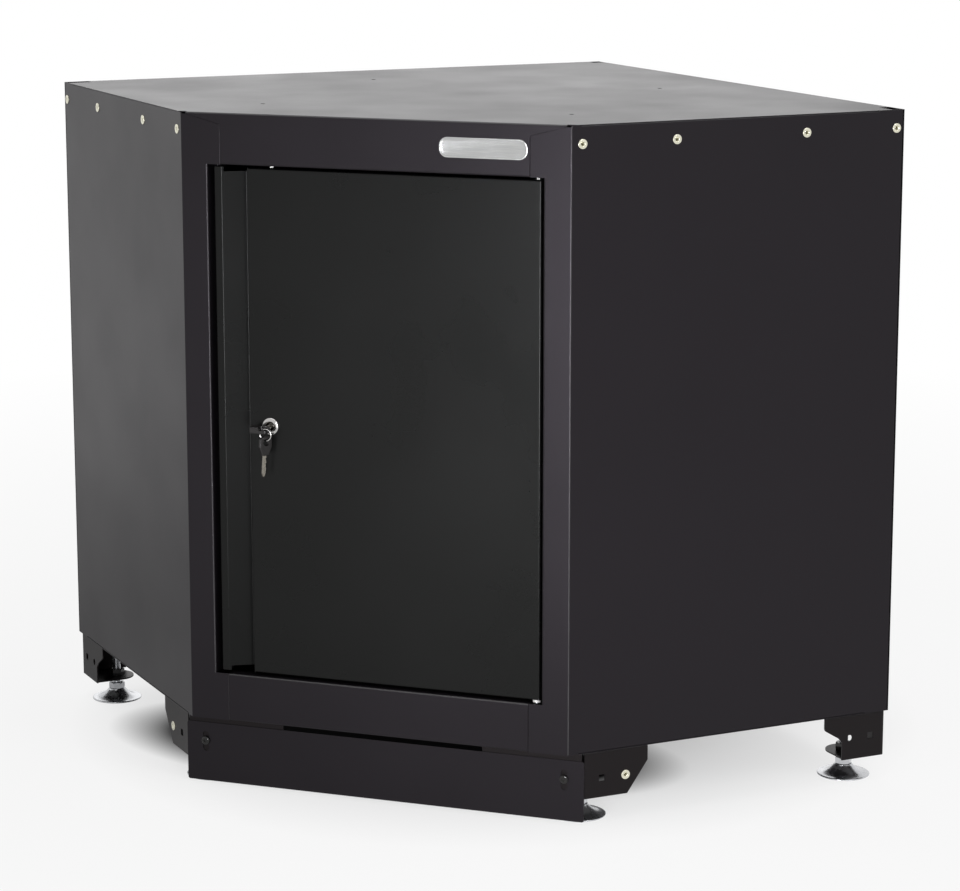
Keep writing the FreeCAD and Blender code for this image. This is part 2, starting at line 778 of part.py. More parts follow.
def door_buffers():
    """Rubber buttons on the jamb lip, plugged through it."""
    solids = []
    for centre in buffer_centres():
        front = centre - INTO * BUFFER_HEIGHT
        button = rod(BUFFER_R, front, centre)
        plug = rod(RIVET_R, centre, centre + INTO * SHEET)
        button = button.makeFillet(BUFFER_ROUND, rim_at(button, front))
        solids.append(button.fuse(plug).removeSplitter())
    return Part.makeCompound(solids)


# Lock and keys
def lock_point(x, y, z):
    """Point measured from the lock axis on the front face."""
    return point(LOCK_X + x, y, LOCK_Z + z)


def lock_block(width, height, start, stop):
    """Block centred on the lock axis, between two depths."""
    half = width / 2
    tall = height / 2
    return box(LOCK_X - half, LOCK_X + half, start, stop, LOCK_Z - tall, LOCK_Z + tall)


def lock_housing():
    face = rod(LOCK_FACE_R, lock_point(0, LOCK_FRONT, 0), lock_point(0, DOOR_RECESS, 0))
    face = face.makeFillet(LOCK_FACE_ROUND, rim_at(face, lock_point(0, LOCK_FRONT, 0)))
    barrel = rod(LOCK_BARREL_R, lock_point(0, DOOR_RECESS, 0), lock_point(0, LOCK_BARREL_END, 0))
    bore = rod(PLUG_R + RUNNING, lock_point(0, LOCK_FRONT, 0), lock_point(0, LOCK_BARREL_END, 0))
    mouth = Part.makeCone(LOCK_MOUTH_R, PLUG_R + RUNNING, PLUG_SET_BACK, lock_point(0, LOCK_FRONT, 0), INTO)
    return face.fuse(barrel).cut([bore, mouth]).removeSplitter()


def lock_nut():
    start = lock_point(0, DOOR_BACK, 0)
    stop = lock_point(0, DOOR_BACK + LOCK_NUT, 0)
    return hexagon(LOCK_NUT_FLAT, start, stop).cut(rod(LOCK_BARREL_R, start, stop))


def lock_plug():
    """Turning plug with a keyway at the front and a square tang for the cam."""
    front = LOCK_FRONT + PLUG_SET_BACK
    plug = rod(PLUG_R, lock_point(0, front, 0), lock_point(0, CAM_START, 0))
    tang = lock_block(TANG, TANG, CAM_START, CAM_START + CAM_THICKNESS)
    keyway = lock_block(KEYWAY_WIDTH, KEYWAY_HEIGHT, front, KEYWAY_END)
    thread = rod(CAM_SCREW_SHANK_R, lock_point(0, KEYWAY_END, 0), lock_point(0, CAM_START + CAM_THICKNESS, 0))
    return plug.fuse(tang).cut([keyway, thread]).removeSplitter()


def lock_cam():
    """Cam tongue that hangs down while the door is free."""
    half = CAM_WIDTH / 2
    outline = [(-half, half), (-half, -CAM_REACH), (half, -CAM_REACH), (half, half)]
    face = rounded_face(outline, [CAM_END_R, CAM_TIP_R, CAM_TIP_R, CAM_END_R])
    tongue = stand(raise_face(face, -CAM_THICKNESS, 0), lock_point(0, CAM_START, 0), RIGHT, UP)
    return tongue.cut(lock_block(TANG, TANG, CAM_START, CAM_START + CAM_THICKNESS))


def cam_screw():
    seat = CAM_START + CAM_THICKNESS
    head = rod(CAM_SCREW_R, lock_point(0, seat, 0), lock_point(0, seat + CAM_SCREW_HEAD, 0))
    tip = max(KEYWAY_END, seat - CAM_SCREW_LENGTH)
    shank = rod(CAM_SCREW_SHANK_R, lock_point(0, tip, 0), lock_point(0, seat, 0))
    crown = seat + CAM_SCREW_HEAD
    slot = lock_block(2 * CAM_SCREW_R, CAM_SCREW_SLOT, crown - CAM_SCREW_SLOT, crown)
    return head.fuse(shank).cut(slot).removeSplitter()


def blade_face(width, length):
    """Outline of a key blade that points along +y, with a cut tip."""
    half = width / 2
    return rounded_face([(-half, 0), (half, 0), (half, length - BLADE_TIP), (half - BLADE_TIP, length),
                         (BLADE_TIP - half, length), (-half, length - BLADE_TIP)], [0.0] * 6)


def key_blade():
    start = BOW_BACK - BLADE_IN_BOW
    face = blade_face(BLADE_WIDTH, BLADE_LENGTH)
    solid = raise_face(face, -BLADE_THICKNESS / 2, BLADE_THICKNESS / 2)
    solid.translate(lock_point(0, start, 0))
    return solid


def flat_rims(solid):
    """Edges round the top and bottom faces of a plate."""
    return [e for e in solid.Edges if e.BoundBox.ZLength < TOLERANCE]


def key_bow():
    """Plastic bow that lies across the lock to the left, with a pocket and hole for the ring."""
    front = BOW_BACK - BOW_DEPTH
    outline = [(BOW_LEFT, front), (BOW_RIGHT, front), (BOW_RIGHT, BOW_BACK), (BOW_LEFT, BOW_BACK)]
    solid = raise_face(rounded_face(outline, [BOW_CORNER] * 4), -BOW_THICKNESS / 2, BOW_THICKNESS / 2)
    solid = solid.makeFillet(BOW_ROUND, flat_rims(solid))
    eye = point(BOW_HOLE_X, KEY_Y, 0)
    solid = solid.cut(rod(BOW_HOLE_R, eye - UP * BOW_THICKNESS, eye + UP * BOW_THICKNESS))
    solid.translate(lock_point(0, 0, -BOW_DROP))
    pocket = box(POCKET_LEFT, BOW_RIGHT, front, POCKET_BACK, POCKET_FLOOR, BOW_THICKNESS)
    web_end = box(WEB_RIGHT, BOW_RIGHT, front, POCKET_BACK, -BOW_THICKNESS, BOW_THICKNESS)
    for cutter in (pocket, web_end):
        cutter.translate(lock_point(0, 0, 0))
    return solid.cut([key_blade(), pocket, web_end])


def ring_centre():
    return lock_point(RING_X, KEY_Y, -RING_DROP)


def key_ring():
    return Part.makeTorus(RING_R, RING_WIRE_R, ring_centre(), INTO)


def hang(solid):
    """Places a spare key drawn from its hole centre downwards along -y, on the bottom of the ring."""
    angle = math.radians(SPARE_TURN)
    lean = math.radians(SPARE_LEAN)
    up = point(math.sin(lean), 0, math.cos(lean))
    right = point(math.sin(angle), math.cos(angle), 0)
    right = right - up * right.dot(up)
    right.normalize()
    return stand(solid, ring_centre() - UP * RING_R - up * SPARE_HANG, right, up)


def spare_blade_flat():
    start = SPARE_BOW_ABOVE - SPARE_BOW_HEIGHT + SPARE_BLADE_IN_BOW
    face = blade_face(SPARE_BLADE_WIDTH, SPARE_BLADE_LENGTH + SPARE_BLADE_IN_BOW)
    solid = raise_face(face, -BLADE_THICKNESS / 2, BLADE_THICKNESS / 2)
    solid.rotate(point(0, 0, 0), UP, 180)
    solid.translate(point(0, start, 0))
    return solid


def spare_key_blade():
    return hang(spare_blade_flat())


def spare_key_bow():
    """Plastic bow that narrows from its rounded top to the blade."""
    half = SPARE_BOW_WIDTH / 2
    low = SPARE_BOW_ABOVE - SPARE_BOW_HEIGHT
    outline = [(SPARE_NECK / 2, low), (half, low + SPARE_SHOULDER), (half, SPARE_BOW_ABOVE)]
    radii = [SPARE_NECK_R, SPARE_SHOULDER_R, SPARE_BOW_CORNER]
    outline += [(-x, y) for x, y in outline[::-1]]
    radii += radii[::-1]
    solid = raise_face(rounded_face(outline, radii), -SPARE_BOW_THICKNESS / 2, SPARE_BOW_THICKNESS / 2)
    solid = solid.makeFillet(SPARE_BOW_ROUND, flat_rims(solid))
    return hang(solid.cut([hole(SPARE_HOLE_R, point(0, 0, 0), UP), spare_blade_flat()]))


# Small parts of the body
def badge_plate():
    """Oblong plate with a raised rim and a plain face."""
    def oblong(margin, deep, high):
        half = PLATE_LENGTH / 2 - margin
        tall = PLATE_HEIGHT / 2 - margin
        corners = [(-half, -tall), (half, -tall), (half, tall), (-half, tall)]
        face = rounded_face(corners, [PLATE_CORNER - margin] * 4)
        return stand(raise_face(face, deep, high), point(PLATE_X, 0, TOP - PLATE_FROM_TOP), RIGHT, UP)
    return oblong(0, 0, PLATE_THICKNESS).cut(oblong(PLATE_RIM, PLATE_THICKNESS - PLATE_RECESS, PLATE_THICKNESS))


def rivet_nut(surface, inward):
    """Threaded insert: flange on the outer face, body through the sheet, open bore."""
    flange = rod(NUT_FLANGE_R, surface - inward * NUT_FLANGE, surface)
    body = rod(NUT_BODY_R, surface, surface + inward * NUT_BODY)
    bore = rod(NUT_BORE_R, surface - inward * NUT_FLANGE, surface + inward * NUT_BODY)
    return flange.fuse(body).cut(bore).removeSplitter()


def right_rivet_nuts():
    return Part.makeCompound([rivet_nut(side_point(a, 0, SIDE_NUT_Z), SIDE_IN) for a in SIDE_NUT_ALONG])


def left_rivet_nuts():
    return mirrored(right_rivet_nuts())


# Leg brackets
def arm_waste(length_limit):
    """Region cut from a corner bracket arm: the stepped, sloping free edge."""
    end = length_limit + ARM_EDGE_R
    edge = BRACKET_DROP - ARM_EDGE
    notch = BRACKET_DROP - ARM_NOTCH_DROP
    points = [(ARM_FOOT, -SHEET), (end, -SHEET), (end, edge + ARM_EDGE_R), (length_limit, edge + ARM_EDGE_R)]
    points += [(length_limit, edge), (length_limit - ARM_NOTCH, notch), (ARM_FOOT, notch - ARM_FALL)]
    return rounded_face(points, [0.0, 0.0, 0.0, 0.0, ARM_EDGE_R, ARM_NOTCH_R, ARM_FOOT_R])


def heel_waste():
    """Region cut from a corner bracket arm: the lower corner at the bend, outside its rounding."""
    out = -BRACKET_SHEET
    reach = HEEL_R + LOOSE
    points = [(out, out), (reach, out), (reach, 0), (0, 0), (0, reach), (out, reach)]
    return rounded_face(points, [0.0, 0.0, 0.0, HEEL_R, 0.0, 0.0])


def square_hole(centre, along):
    half = SQUARE_HOLE / 2
    block = box(-half, half, -half, half, -THROUGH, THROUGH)
    return stand(block, centre, along, UP)


def line_gap(place, start, stop):
    """Distance of a place in plan from the line through two others."""
    run = unit(start, stop)
    return abs(run[0] * (place[1] - start[1]) - run[1] * (place[0] - start[0]))


def bracket_shell(path):
    """Upright wall along a path, bent over at the top into a flange that lies to its left."""
    wall = raise_face(strip_face(path, BRACKET_SHEET, BRACKET_BEND), BRACKET_BOTTOM, LEG_HEIGHT)
    outline = list(path) + offset_left(path, BRACKET_FLANGE)[::-1]
    face = rounded_face(outline, [0.0, BRACKET_BEND + BRACKET_SHEET, 0.0, 0.0, 0.0, 0.0])
    shell = wall.fuse(raise_face(face, LEG_HEIGHT - BRACKET_SHEET, LEG_HEIGHT)).removeSplitter()
    rim = []
    for edge in shell.Edges:
        gap = min(line_gap(plan(edge.CenterOfMass), path[i], path[i + 1]) for i in (0, 1))
        if edge.BoundBox.ZMin > LEG_HEIGHT - TOLERANCE and gap < BRACKET_SHEET:
            rim.append(edge)
    return shell.makeFillet(BRACKET_TOP_R, rim)


def corner_bracket(corner, along, other, foot):
    """Bracket with two upright arms on a square corner, a top flange and a rounded foot tab."""
    first = corner + along * BRACKET_ARM
    second = corner + other * BRACKET_ARM
    path = [plan(first), plan(corner), plan(second)]
    waste = []
    holes = []
    for run in (along, other):
        for face in (arm_waste(BRACKET_ARM), heel_waste()):
            block = raise_face(face, -BRACKET_SHEET * 2, BRACKET_SHEET * 2)
            waste.append(stand(block, point(corner.x, corner.y, BRACKET_BOTTOM), run, UP))
        normal = run.cross(UP)
        centre = point(corner.x, corner.y, HOLE_Z) + run * HOLE_FROM_CORNER
        holes.append(hole(ROUND_HOLE_R, centre, normal))
        holes.append(square_hole(point(corner.x, corner.y, HOLE_Z) + run * SQUARE_FROM_CORNER, run))
    tab = foot_tab(foot, other * -1).fuse(tab_shoulder(foot, other * -1))
    shell = bracket_shell(path).cut(waste + holes).fuse(tab)
    return shell.cut([stem_hole(foot)] + bolt_holes()).removeSplitter()


def foot_tab(foot, towards):
    """Horizontal tab round a foot, straight towards its wall."""
    disc = Part.makeCylinder(TAB_R, BRACKET_SHEET, point(foot.x, foot.y, BRACKET_BOTTOM))
    strip = Part.makeBox(TAB_REACH, 2 * TAB_R, BRACKET_SHEET, point(0, -TAB_R, 0))
    strip = stand(strip, point(foot.x, foot.y, BRACKET_BOTTOM), towards, UP.cross(towards))
    return disc.fuse(strip).removeSplitter()


def tab_shoulder(foot, towards):
    """Part of a foot tab that fills the space up to the bracket's other arm."""
    slope = (-TAB_R * math.cos(TAB_SLOPE), TAB_R * math.sin(TAB_SLOPE))
    outline = [(0, 0), (TAB_REACH, 0), (TAB_REACH, TAB_SHOULDER), (0, TAB_SHOULDER), slope]
    solid = prism(outline, 0, BRACKET_SHEET)
    return stand(solid, point(foot.x, foot.y, BRACKET_BOTTOM), towards, UP.cross(towards))


def stem_hole(foot):
    return hole(STEM_HOLE_R, foot + UP * BRACKET_BOTTOM, UP)


def rear_foot():
    return side_point(SIDE_DEPTH - FOOT_INSET, FOOT_INSET, 0)


def corner_foot():
    return back_point(WALL - FOOT_INSET, FOOT_INSET, 0)


def front_foot():
    return side_point(FRONT_FOOT_ALONG, FOOT_INSET, 0)


def back_right_bracket():
    corner = side_point(SIDE_DEPTH - BRACKET_INSET, BRACKET_INSET, 0)
    return corner_bracket(corner, SIDE_ALONG * -1, BACK_ALONG, rear_foot())


def back_left_bracket():
    return mirrored(back_right_bracket())


def back_corner_bracket():
    corner = back_point(WALL - BRACKET_INSET, BRACKET_INSET, 0)
    return corner_bracket(corner, BACK_ALONG * -1, BACK_IN, corner_foot())


def front_corner():
    """Outer bend of the front bracket, where its front plate meets its side arm."""
    front = PLINTH_FRONT + SHEET
    return point(HALF + front - BRACKET_INSET / DIAG, front, 0)


def corner_slits():
    """Cutters for the slits in the bend of a front bracket, below and above a bridge."""
    across = RIGHT + SIDE_ALONG
    across.normalize()
    half = CORNER_SLIT / 2
    low, high = SLIT_BRIDGE
    slits = [box(-half, half, -THROUGH, THROUGH, start, stop)
             for start, stop in ((-SHEET, low), (high, BRACKET_DROP - BRACKET_SHEET))]
    return [stand(slit, front_corner() + UP * BRACKET_BOTTOM, across, UP.cross(across)) for slit in slits]


def front_right_bracket():
    """Bracket with a front plate behind the plinth and a side arm under the side wall."""
    corner = front_corner()
    end = corner + SIDE_ALONG * BRACKET_ARM
    path = [(BRACKET_FRONT_REACH, corner.y), plan(corner), plan(end)]
    arm = [(BRACKET_ARM - FRONT_ARM_SLOPE, 0), (BRACKET_ARM, 0), (BRACKET_ARM, BRACKET_DROP - FRONT_ARM_EDGE)]
    side_waste = stand(prism(arm, -THROUGH, THROUGH), corner + UP * BRACKET_BOTTOM, SIDE_ALONG, UP)
    plate = [(0, 0), (BRACKET_FRONT_SLOPE, 0), (0, BRACKET_DROP - BRACKET_FRONT_EDGE)]
    plate_end = point(BRACKET_FRONT_REACH, corner.y, BRACKET_BOTTOM)
    front_waste = stand(prism(plate, -THROUGH, THROUGH), plate_end, RIGHT, UP)
    square = square_hole(side_point(FRONT_SQUARE_ALONG, BRACKET_INSET, FRONT_HOLE_Z), SIDE_ALONG)
    nut = hole(NUT_BODY_R, side_point(FRONT_NUT_ALONG, BRACKET_INSET, FRONT_HOLE_Z), SIDE_IN)
    screw = hole(SCREW_R + LOOSE, point(SLOT_X, corner.y, SCREW_Z), INTO)
    tab = foot_tab(front_foot(), SIDE_IN * -1)
    tab = tab.cut(box(0, WALL, -WALL, corner.y + BRACKET_SHEET, 0, LEG_HEIGHT))
    cutters = [side_waste, front_waste, square, nut, screw] + corner_slits()
    shell = bracket_shell(path).cut(cutters).fuse(tab)
    return shell.cut([stem_hole(front_foot())] + bolt_holes()).removeSplitter()


def front_left_bracket():
    return mirrored(front_right_bracket())


def bolt_places(z):
    """Bolts that hold the brackets under the bottom panel."""
    inset = BRACKET_INSET + BOLT_FROM_EDGE
    near = BRACKET_INSET + BRACKET_ARM - BOLT_FROM_EDGE
    front = front_corner()
    right = [side_point(SIDE_DEPTH - near, inset, z), back_point(near, inset, z),
             front + SIDE_ALONG * (BRACKET_ARM - BOLT_FROM_EDGE) + SIDE_IN * BOLT_FROM_EDGE + UP * z,
             point(BRACKET_FRONT_REACH + BOLT_FROM_EDGE, front.y + BOLT_FROM_EDGE, z),
             back_point(WALL - near, inset, z)]
    return right + [point(-p.x, p.y, p.z) for p in right]


def bolt_holes():
    return [hole(BOLT_R, place, UP) for place in bolt_places(LEG_HEIGHT)]


def bracket_bolts():
    solids = []
    for seat in bolt_places(LEG_HEIGHT - BRACKET_SHEET):
        head = hexagon(BOLT_FLAT, seat - UP * BOLT_HEAD, seat)
        shank = rod(BOLT_R, seat, seat + UP * (BRACKET_SHEET + 2 * SHEET + BOLT_NUT))
        solids.append(head.fuse(shank).removeSplitter())
    return Part.makeCompound(solids)


def bracket_nuts():
    solids = []
    for seat in bolt_places(LEG_HEIGHT + SHEET):
        crown = seat + UP * BOLT_NUT
        solids.append(hexagon(BOLT_FLAT, seat, crown).cut(rod(BOLT_R, seat, crown)))
    return Part.makeCompound(solids)


def bracket_rivet_nuts():
    nut = rivet_nut(side_point(FRONT_NUT_ALONG, BRACKET_INSET, FRONT_HOLE_Z), SIDE_IN)
    return Part.makeCompound(both_sides(nut))


# Feet
def foot_places():
    front = front_foot()
    rear = rear_foot()
    return {
        "front_left": point(-front.x, front.y, 0), "front_right": front,
        "back_left": point(-rear.x, rear.y, 0), "back_right": rear, "back_corner": corner_foot(),
    }


def foot_pad(place):
    """Round pad pressed up into a cone round the stem."""
    disc = Part.makeCylinder(PAD_R, PAD_EDGE, place)
    disc = disc.makeFillet(PAD_ROUND, rim_at(disc, place + UP * PAD_EDGE))
    cone = Part.makeCone(CONE_R, CONE_TOP_R, CONE_TOP - PAD_EDGE, place + UP * PAD_EDGE)
    socket = Part.makeCylinder(STEM_R + LOOSE, CONE_TOP, place + UP * STEM_SOCKET)
    return disc.fuse(cone).cut(socket).removeSplitter()


def foot_stem(place):
    """Threaded stem with a hexagon that rests on the pad."""
    shank = rod(STEM_R, place + UP * STEM_SOCKET, place + UP * STEM_TOP)
    collar = hexagon(STEM_FLAT, place + UP * CONE_TOP, place + UP * STEM_COLLAR_TOP)
    return shank.fuse(collar).removeSplitter()


def foot_nuts():
    solids = []
    for place in foot_places().values():
        nut = hexagon(STEM_FLAT, place + UP * TAB_TOP, place + UP * (TAB_TOP + FOOT_NUT))
        solids.append(nut.cut(rod(STEM_R + RUNNING, place, place + UP * LEG_HEIGHT)))
    return Part.makeCompound(solids)


# Plinth
def plinth_panel():
    """Flat plinth with rounded corners and an upright slot near each end."""
    def oblong(width, height, radius, low, high):
        half = width / 2
        tall = height / 2
        face = rounded_face([(-half, -tall), (half, -tall), (half, tall), (-half, tall)], [radius] * 4)
        return raise_face(face, low, high)
    middle = point(0, PLINTH_FRONT, PLINTH_BOTTOM + PLINTH_HEIGHT / 2)
    panel = stand(oblong(2 * PLINTH_HALF, PLINTH_HEIGHT, PLINTH_CORNER, -SHEET, 0), middle, RIGHT, UP)
    slot = oblong(SLOT_WIDTH, SLOT_LENGTH, SLOT_WIDTH / 2 - RUNNING, -THROUGH, THROUGH)
    return panel.cut([stand(slot, point(x, PLINTH_FRONT, SLOT_Z), RIGHT, UP) for x in (-SLOT_X, SLOT_X)])


def plinth_screws():
    """Button-head screws through the plinth slots into the front brackets."""
    seat = point(SLOT_X, PLINTH_FRONT - FACE_GAP, SCREW_Z)
    crown = seat - INTO * SCREW_HEAD
    head = rod(SCREW_HEAD_R, crown, seat)
    head = head.makeFillet(SCREW_ROUND, rim_at(head, crown))
    head = head.cut(hexagon(2 * SCREW_SOCKET_R, crown, crown + INTO * SCREW_SOCKET))
    shank = rod(SCREW_R, seat, seat + INTO * SCREW_LENGTH)
    return Part.makeCompound(both_sides(head.fuse(shank).removeSplitter()))


def plinth_nuts():
    seat = point(SLOT_X, front_corner().y + BRACKET_SHEET, SCREW_Z)
    crown = seat + INTO * SCREW_NUT
    nut = hexagon(SCREW_NUT_FLAT, seat, crown).cut(rod(SCREW_R, seat, crown))
    return Part.makeCompound(both_sides(nut))


def export(name, shape):
    moved = shape.copy()
    moved.translate(point(0, -ORIGIN_Y, 0))
    moved.exportStep("parts/" + name + ".step")


SINGLE = (
    top_panel, bottom_panel, left_side_panel, right_side_panel, left_back_panel, right_back_panel, back_rivets,
    shelf, shelf_supports, badge_plate, left_rivet_nuts, right_rivet_nuts,
    door_panel, door_stiffener, upper_hinge_bush, lower_hinge_bush, upper_hinge_pin, lower_hinge_pin,
    lower_hinge_washer, door_glide, door_buffers,
    lock_housing, lock_nut, lock_plug, lock_cam, cam_screw,
    key_blade, key_bow, key_ring, spare_key_blade, spare_key_bow,
    front_left_bracket, front_right_bracket, back_left_bracket, back_right_bracket, back_corner_bracket,
    bracket_bolts, bracket_nuts, bracket_rivet_nuts, foot_nuts,
    plinth_panel, plinth_screws, plinth_nuts,
)

for build in SINGLE:
    export(build.__name__, build())
for corner_name, centre in foot_places().items():
    export(corner_name + "_foot_pad", foot_pad(centre))
    export(corner_name + "_foot_stem", foot_stem(centre))
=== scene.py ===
import json
import math

import bmesh
import bpy
from mathutils import Matrix, Vector


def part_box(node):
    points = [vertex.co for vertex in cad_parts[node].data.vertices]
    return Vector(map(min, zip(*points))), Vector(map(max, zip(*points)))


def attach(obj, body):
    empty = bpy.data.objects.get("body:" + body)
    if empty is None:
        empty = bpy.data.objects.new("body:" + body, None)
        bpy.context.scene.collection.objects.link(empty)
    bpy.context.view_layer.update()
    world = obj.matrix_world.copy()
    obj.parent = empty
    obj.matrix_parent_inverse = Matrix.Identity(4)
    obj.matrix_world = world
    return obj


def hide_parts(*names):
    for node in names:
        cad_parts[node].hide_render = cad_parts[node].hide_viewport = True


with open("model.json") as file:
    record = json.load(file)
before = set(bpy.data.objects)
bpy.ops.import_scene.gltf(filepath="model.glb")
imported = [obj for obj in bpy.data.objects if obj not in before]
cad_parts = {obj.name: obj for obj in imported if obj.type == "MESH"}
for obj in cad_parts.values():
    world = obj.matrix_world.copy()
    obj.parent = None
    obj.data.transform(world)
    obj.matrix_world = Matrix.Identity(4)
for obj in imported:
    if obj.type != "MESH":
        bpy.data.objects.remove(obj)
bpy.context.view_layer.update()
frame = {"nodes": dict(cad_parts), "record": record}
nodes = frame["nodes"]
record = frame["record"]
node_slot = {part["node"]: part["material_slot"] for part in record["subparts"]}

# Sizes in millimetres, as on a shop drawing
MM = 0.001
MERGE = 0.002
TURN_STEPS = 48
HEX_STEPS = 48
CORNER_FALL = math.tan(math.radians(30))
CORNER_OUT = 1.1
HEX_FACE = 0.96
HEX_COUNTERSINK = 0.8
SMOOTH_ANGLE = math.radians(38)

FORWARD = (0, -1, 0)

FEET = ("front_left", "front_right", "back_left", "back_right", "back_corner")
PAD_R = 36.0
PAD_EDGE = 1.0
PAD_EDGE_TOP = 2.2
PAD_SOLE_IN = 0.8
PAD_NECK_R = 11.8
PAD_NECK_TOP = 15.5
PAD_RIM = 1.2
PAD_NECK_ROUND = 0.7
PAD_FLARE = 2.3
PAD_FLARE_POINTS = 14
PAD_HOLLOW_R = 21.0
PAD_HOLLOW = 1.4
PAD_HOLLOW_SLOPE = 2.0
PAD_STEPS = 72
SOCKET_R = 6.2
SOCKET_FLOOR = 8.0
COLLAR_FLAT = 20.0
COLLAR_TOP = 24.0
COLLAR_FACE = 0.95
COLLAR_GAP = 0.1
STEM_R = 6.0
STEM_TOP = 86.0
FRONT_STEM_TOP = 70.0
STEM_CHAMFER = 1.2
STEM_END_GAP = 0.2
STEM_END_CHAMFER = 1.5
STEM_NECK_OUT = 0.4
STEM_NECK = 0.5
THREAD_PITCH = 1.75
THREAD_DEPTH = 0.95
THREAD_START = 0.3
THREAD_END = 0.4
THREAD_STEPS = 24
THREAD_RIDGE = ((0, 0.0), (0, 0.12), (1, 0.44), (1, 0.56), (0, 0.88), (0, 1.0))
FOOT_NUT_FLAT = 20.0

NUT_FLANGE_R = 6.3
NUT_FLANGE = 1.0
NUT_ROUND = 0.5
NUT_BODY_R = 4.5
NUT_BULGE_R = 5.7
NUT_BULGE = 3.0
NUT_BULGE_END = 4.6
NUT_BULGE_IN = 0.3
NUT_LENGTH = 13.0
NUT_END_CHAMFER = 0.4
NUT_BORE_R = 2.5
NUT_THREAD = 0.35
NUT_PITCH = 1.0
NUT_THREAD_END = 1.0
NUT_MOUTH = 0.6
SHEET = 1.0

SCREW_HEAD_R = 6.0
SCREW_HEAD = 3.3
SCREW_WALL = 1.7
SCREW_MOUTH = 0.45
SCREW_MOUTH_DROP = 0.1
SCREW_CROWN_POINTS = 7
SCREW_SEAT_CHAMFER = 0.2
SCREW_TURN = 0.4
SCREW_SHANK_R = 3.0
SCREW_LENGTH = 12.0
SCREW_END_CHAMFER = 0.6
SCREW_SOCKET_FLAT = 4.0
SCREW_SOCKET = 2.0
SCREW_SOCKET_CONE = 0.5

LOCK_FACE_R = 11.5
LOCK_FACE = 3.0
LOCK_ROUND = 1.9
LOCK_MOUTH_R = 6.3
LOCK_LIP_R = 5.7
LOCK_LIP = 1.9
LOCK_LIP_SLOPE = 0.4
LOCK_MOUTH_OUT = 0.6
LOCK_MOUTH_ROUND = 1.0
LOCK_BORE_R = 7.35
LOCK_STEPS = 64
LOCK_BARREL_R = 9.3
LOCK_BARREL = 25.5
LOCK_END_CHAMFER = 0.5
LOCK_THREAD_START = 3.0
LOCK_THREAD_END = 1.0
LOCK_PITCH = 1.5
LOCK_THREAD = 0.6
PLUG_R = 7.3
PLUG_RIM_IN = 0.8
PLUG_RIM_DROP = 1.0
PLUG_RIM_ROUND = 0.7
PLUG_RIM_END = 1.4
PLUG_END_CHAMFER = 0.6
PLUG_BOSS_R = 4.6
PLUG_BOSS_IN = 0.9
PLUG_BOSS_ROUND = 0.6
PLUG_DISH_IN = 1.2
PLUG_DISH = 0.15
PLUG_GROOVE_R = 0.5
PLUG_GROOVE = 1.2
PLUG_TANG_R = 3.4
PLUG_TANG = 2.5

RING_COIL_R = 7.7
RING_WIRE = 0.7
RING_WIRE_STEPS = 12
RING_COIL = 0.78
RING_TURNS = 1.96
RING_STEPS = 150
RING_START = 2.2
RING_RISE = 1.05

SPARE_TURN = math.radians(35.0)
SPARE_LEAN = math.radians(4.5)
SPARE_DROP = 13.7
SPARE_BLADE_LENGTH = 35.0
SPARE_BLADE_WIDTH = 5.4
SPARE_BLADE_THICKNESS = 2.0
BLADE_GROOVE = 0.5
BLADE_GROOVE_EDGES = (0.4, 0.1, 1.0, 1.3)
BLADE_CUTS = (0.9, 1.6, 0.6, 1.3, 1.0)
BLADE_SHOULDER = 5.0
BLADE_CUT_START = 6.2
BLADE_CUT_STEP = 3.6
BLADE_CUT_FLOOR = 0.9
BLADE_CUT_SLOPE = 0.8
BLADE_CUT_RISE = 0.8
BLADE_TIP = ((4.0, 0.2, 0.86), (1.2, 0.4, 0.56), (0.0, 0.5, 0.30))
BLADE_TIP_THICK = 0.2

PLATE_CORNER = 11.0
PLATE_ARC_POINTS = 12
PLATE_RIM = 2.2
PLATE_RECESS = 0.5
PLATE_ROUND = 0.45
PLATE_ROUND_STEPS = 3
PLATE_SHARP_ANGLE = math.radians(40)


# Finishes, with patterns in patches to a metre and relief in metres

COAT_CLOUDS = 2.6
COAT_GRAIN = 1150.0
COAT_DIMPLES = 420.0
COAT_STREAKS = 7.0
COAT_RELIEF = 0.00003
COAT_UNEVEN = 0.14
COAT_GLOSSIER = 0.025
COAT_DULLER = 0.035
SPANGLE = 900.0
DRAWING_LINES = 1500.0
DRAWING_RELIEF = 0.000004
OXIDE_PATCHES = 160.0
OXIDE_PITS = 1800.0
OXIDE_RELIEF = 0.000006
OXIDE_BLACK = (0.005, 0.005, 0.005)
OXIDE_BROWN = (0.010, 0.009, 0.008)
OXIDE_ROUGH = (0.09, 0.14)
MOULD_PATCHES = 90.0
MOULD_GLOSSIER = 0.06
MOULD_DULLER = 0.08
BRUSH_LINES = 1400.0
BRUSH_RELIEF = 0.000008
PLATE_BLOOM = 60.0
PLATE_DARK = (0.40, 0.41, 0.41)
PLATE_LIGHT = (0.48, 0.48, 0.47)
PLATE_ROUGH = (0.17, 0.23)
PAINTED_LIGHT_FACING = (0.423, -0.906, 0.0)
PAINTED_LIGHT_REACH = 0.035
PAINTED_LIGHT_LEAN = (0.6, 0.28)


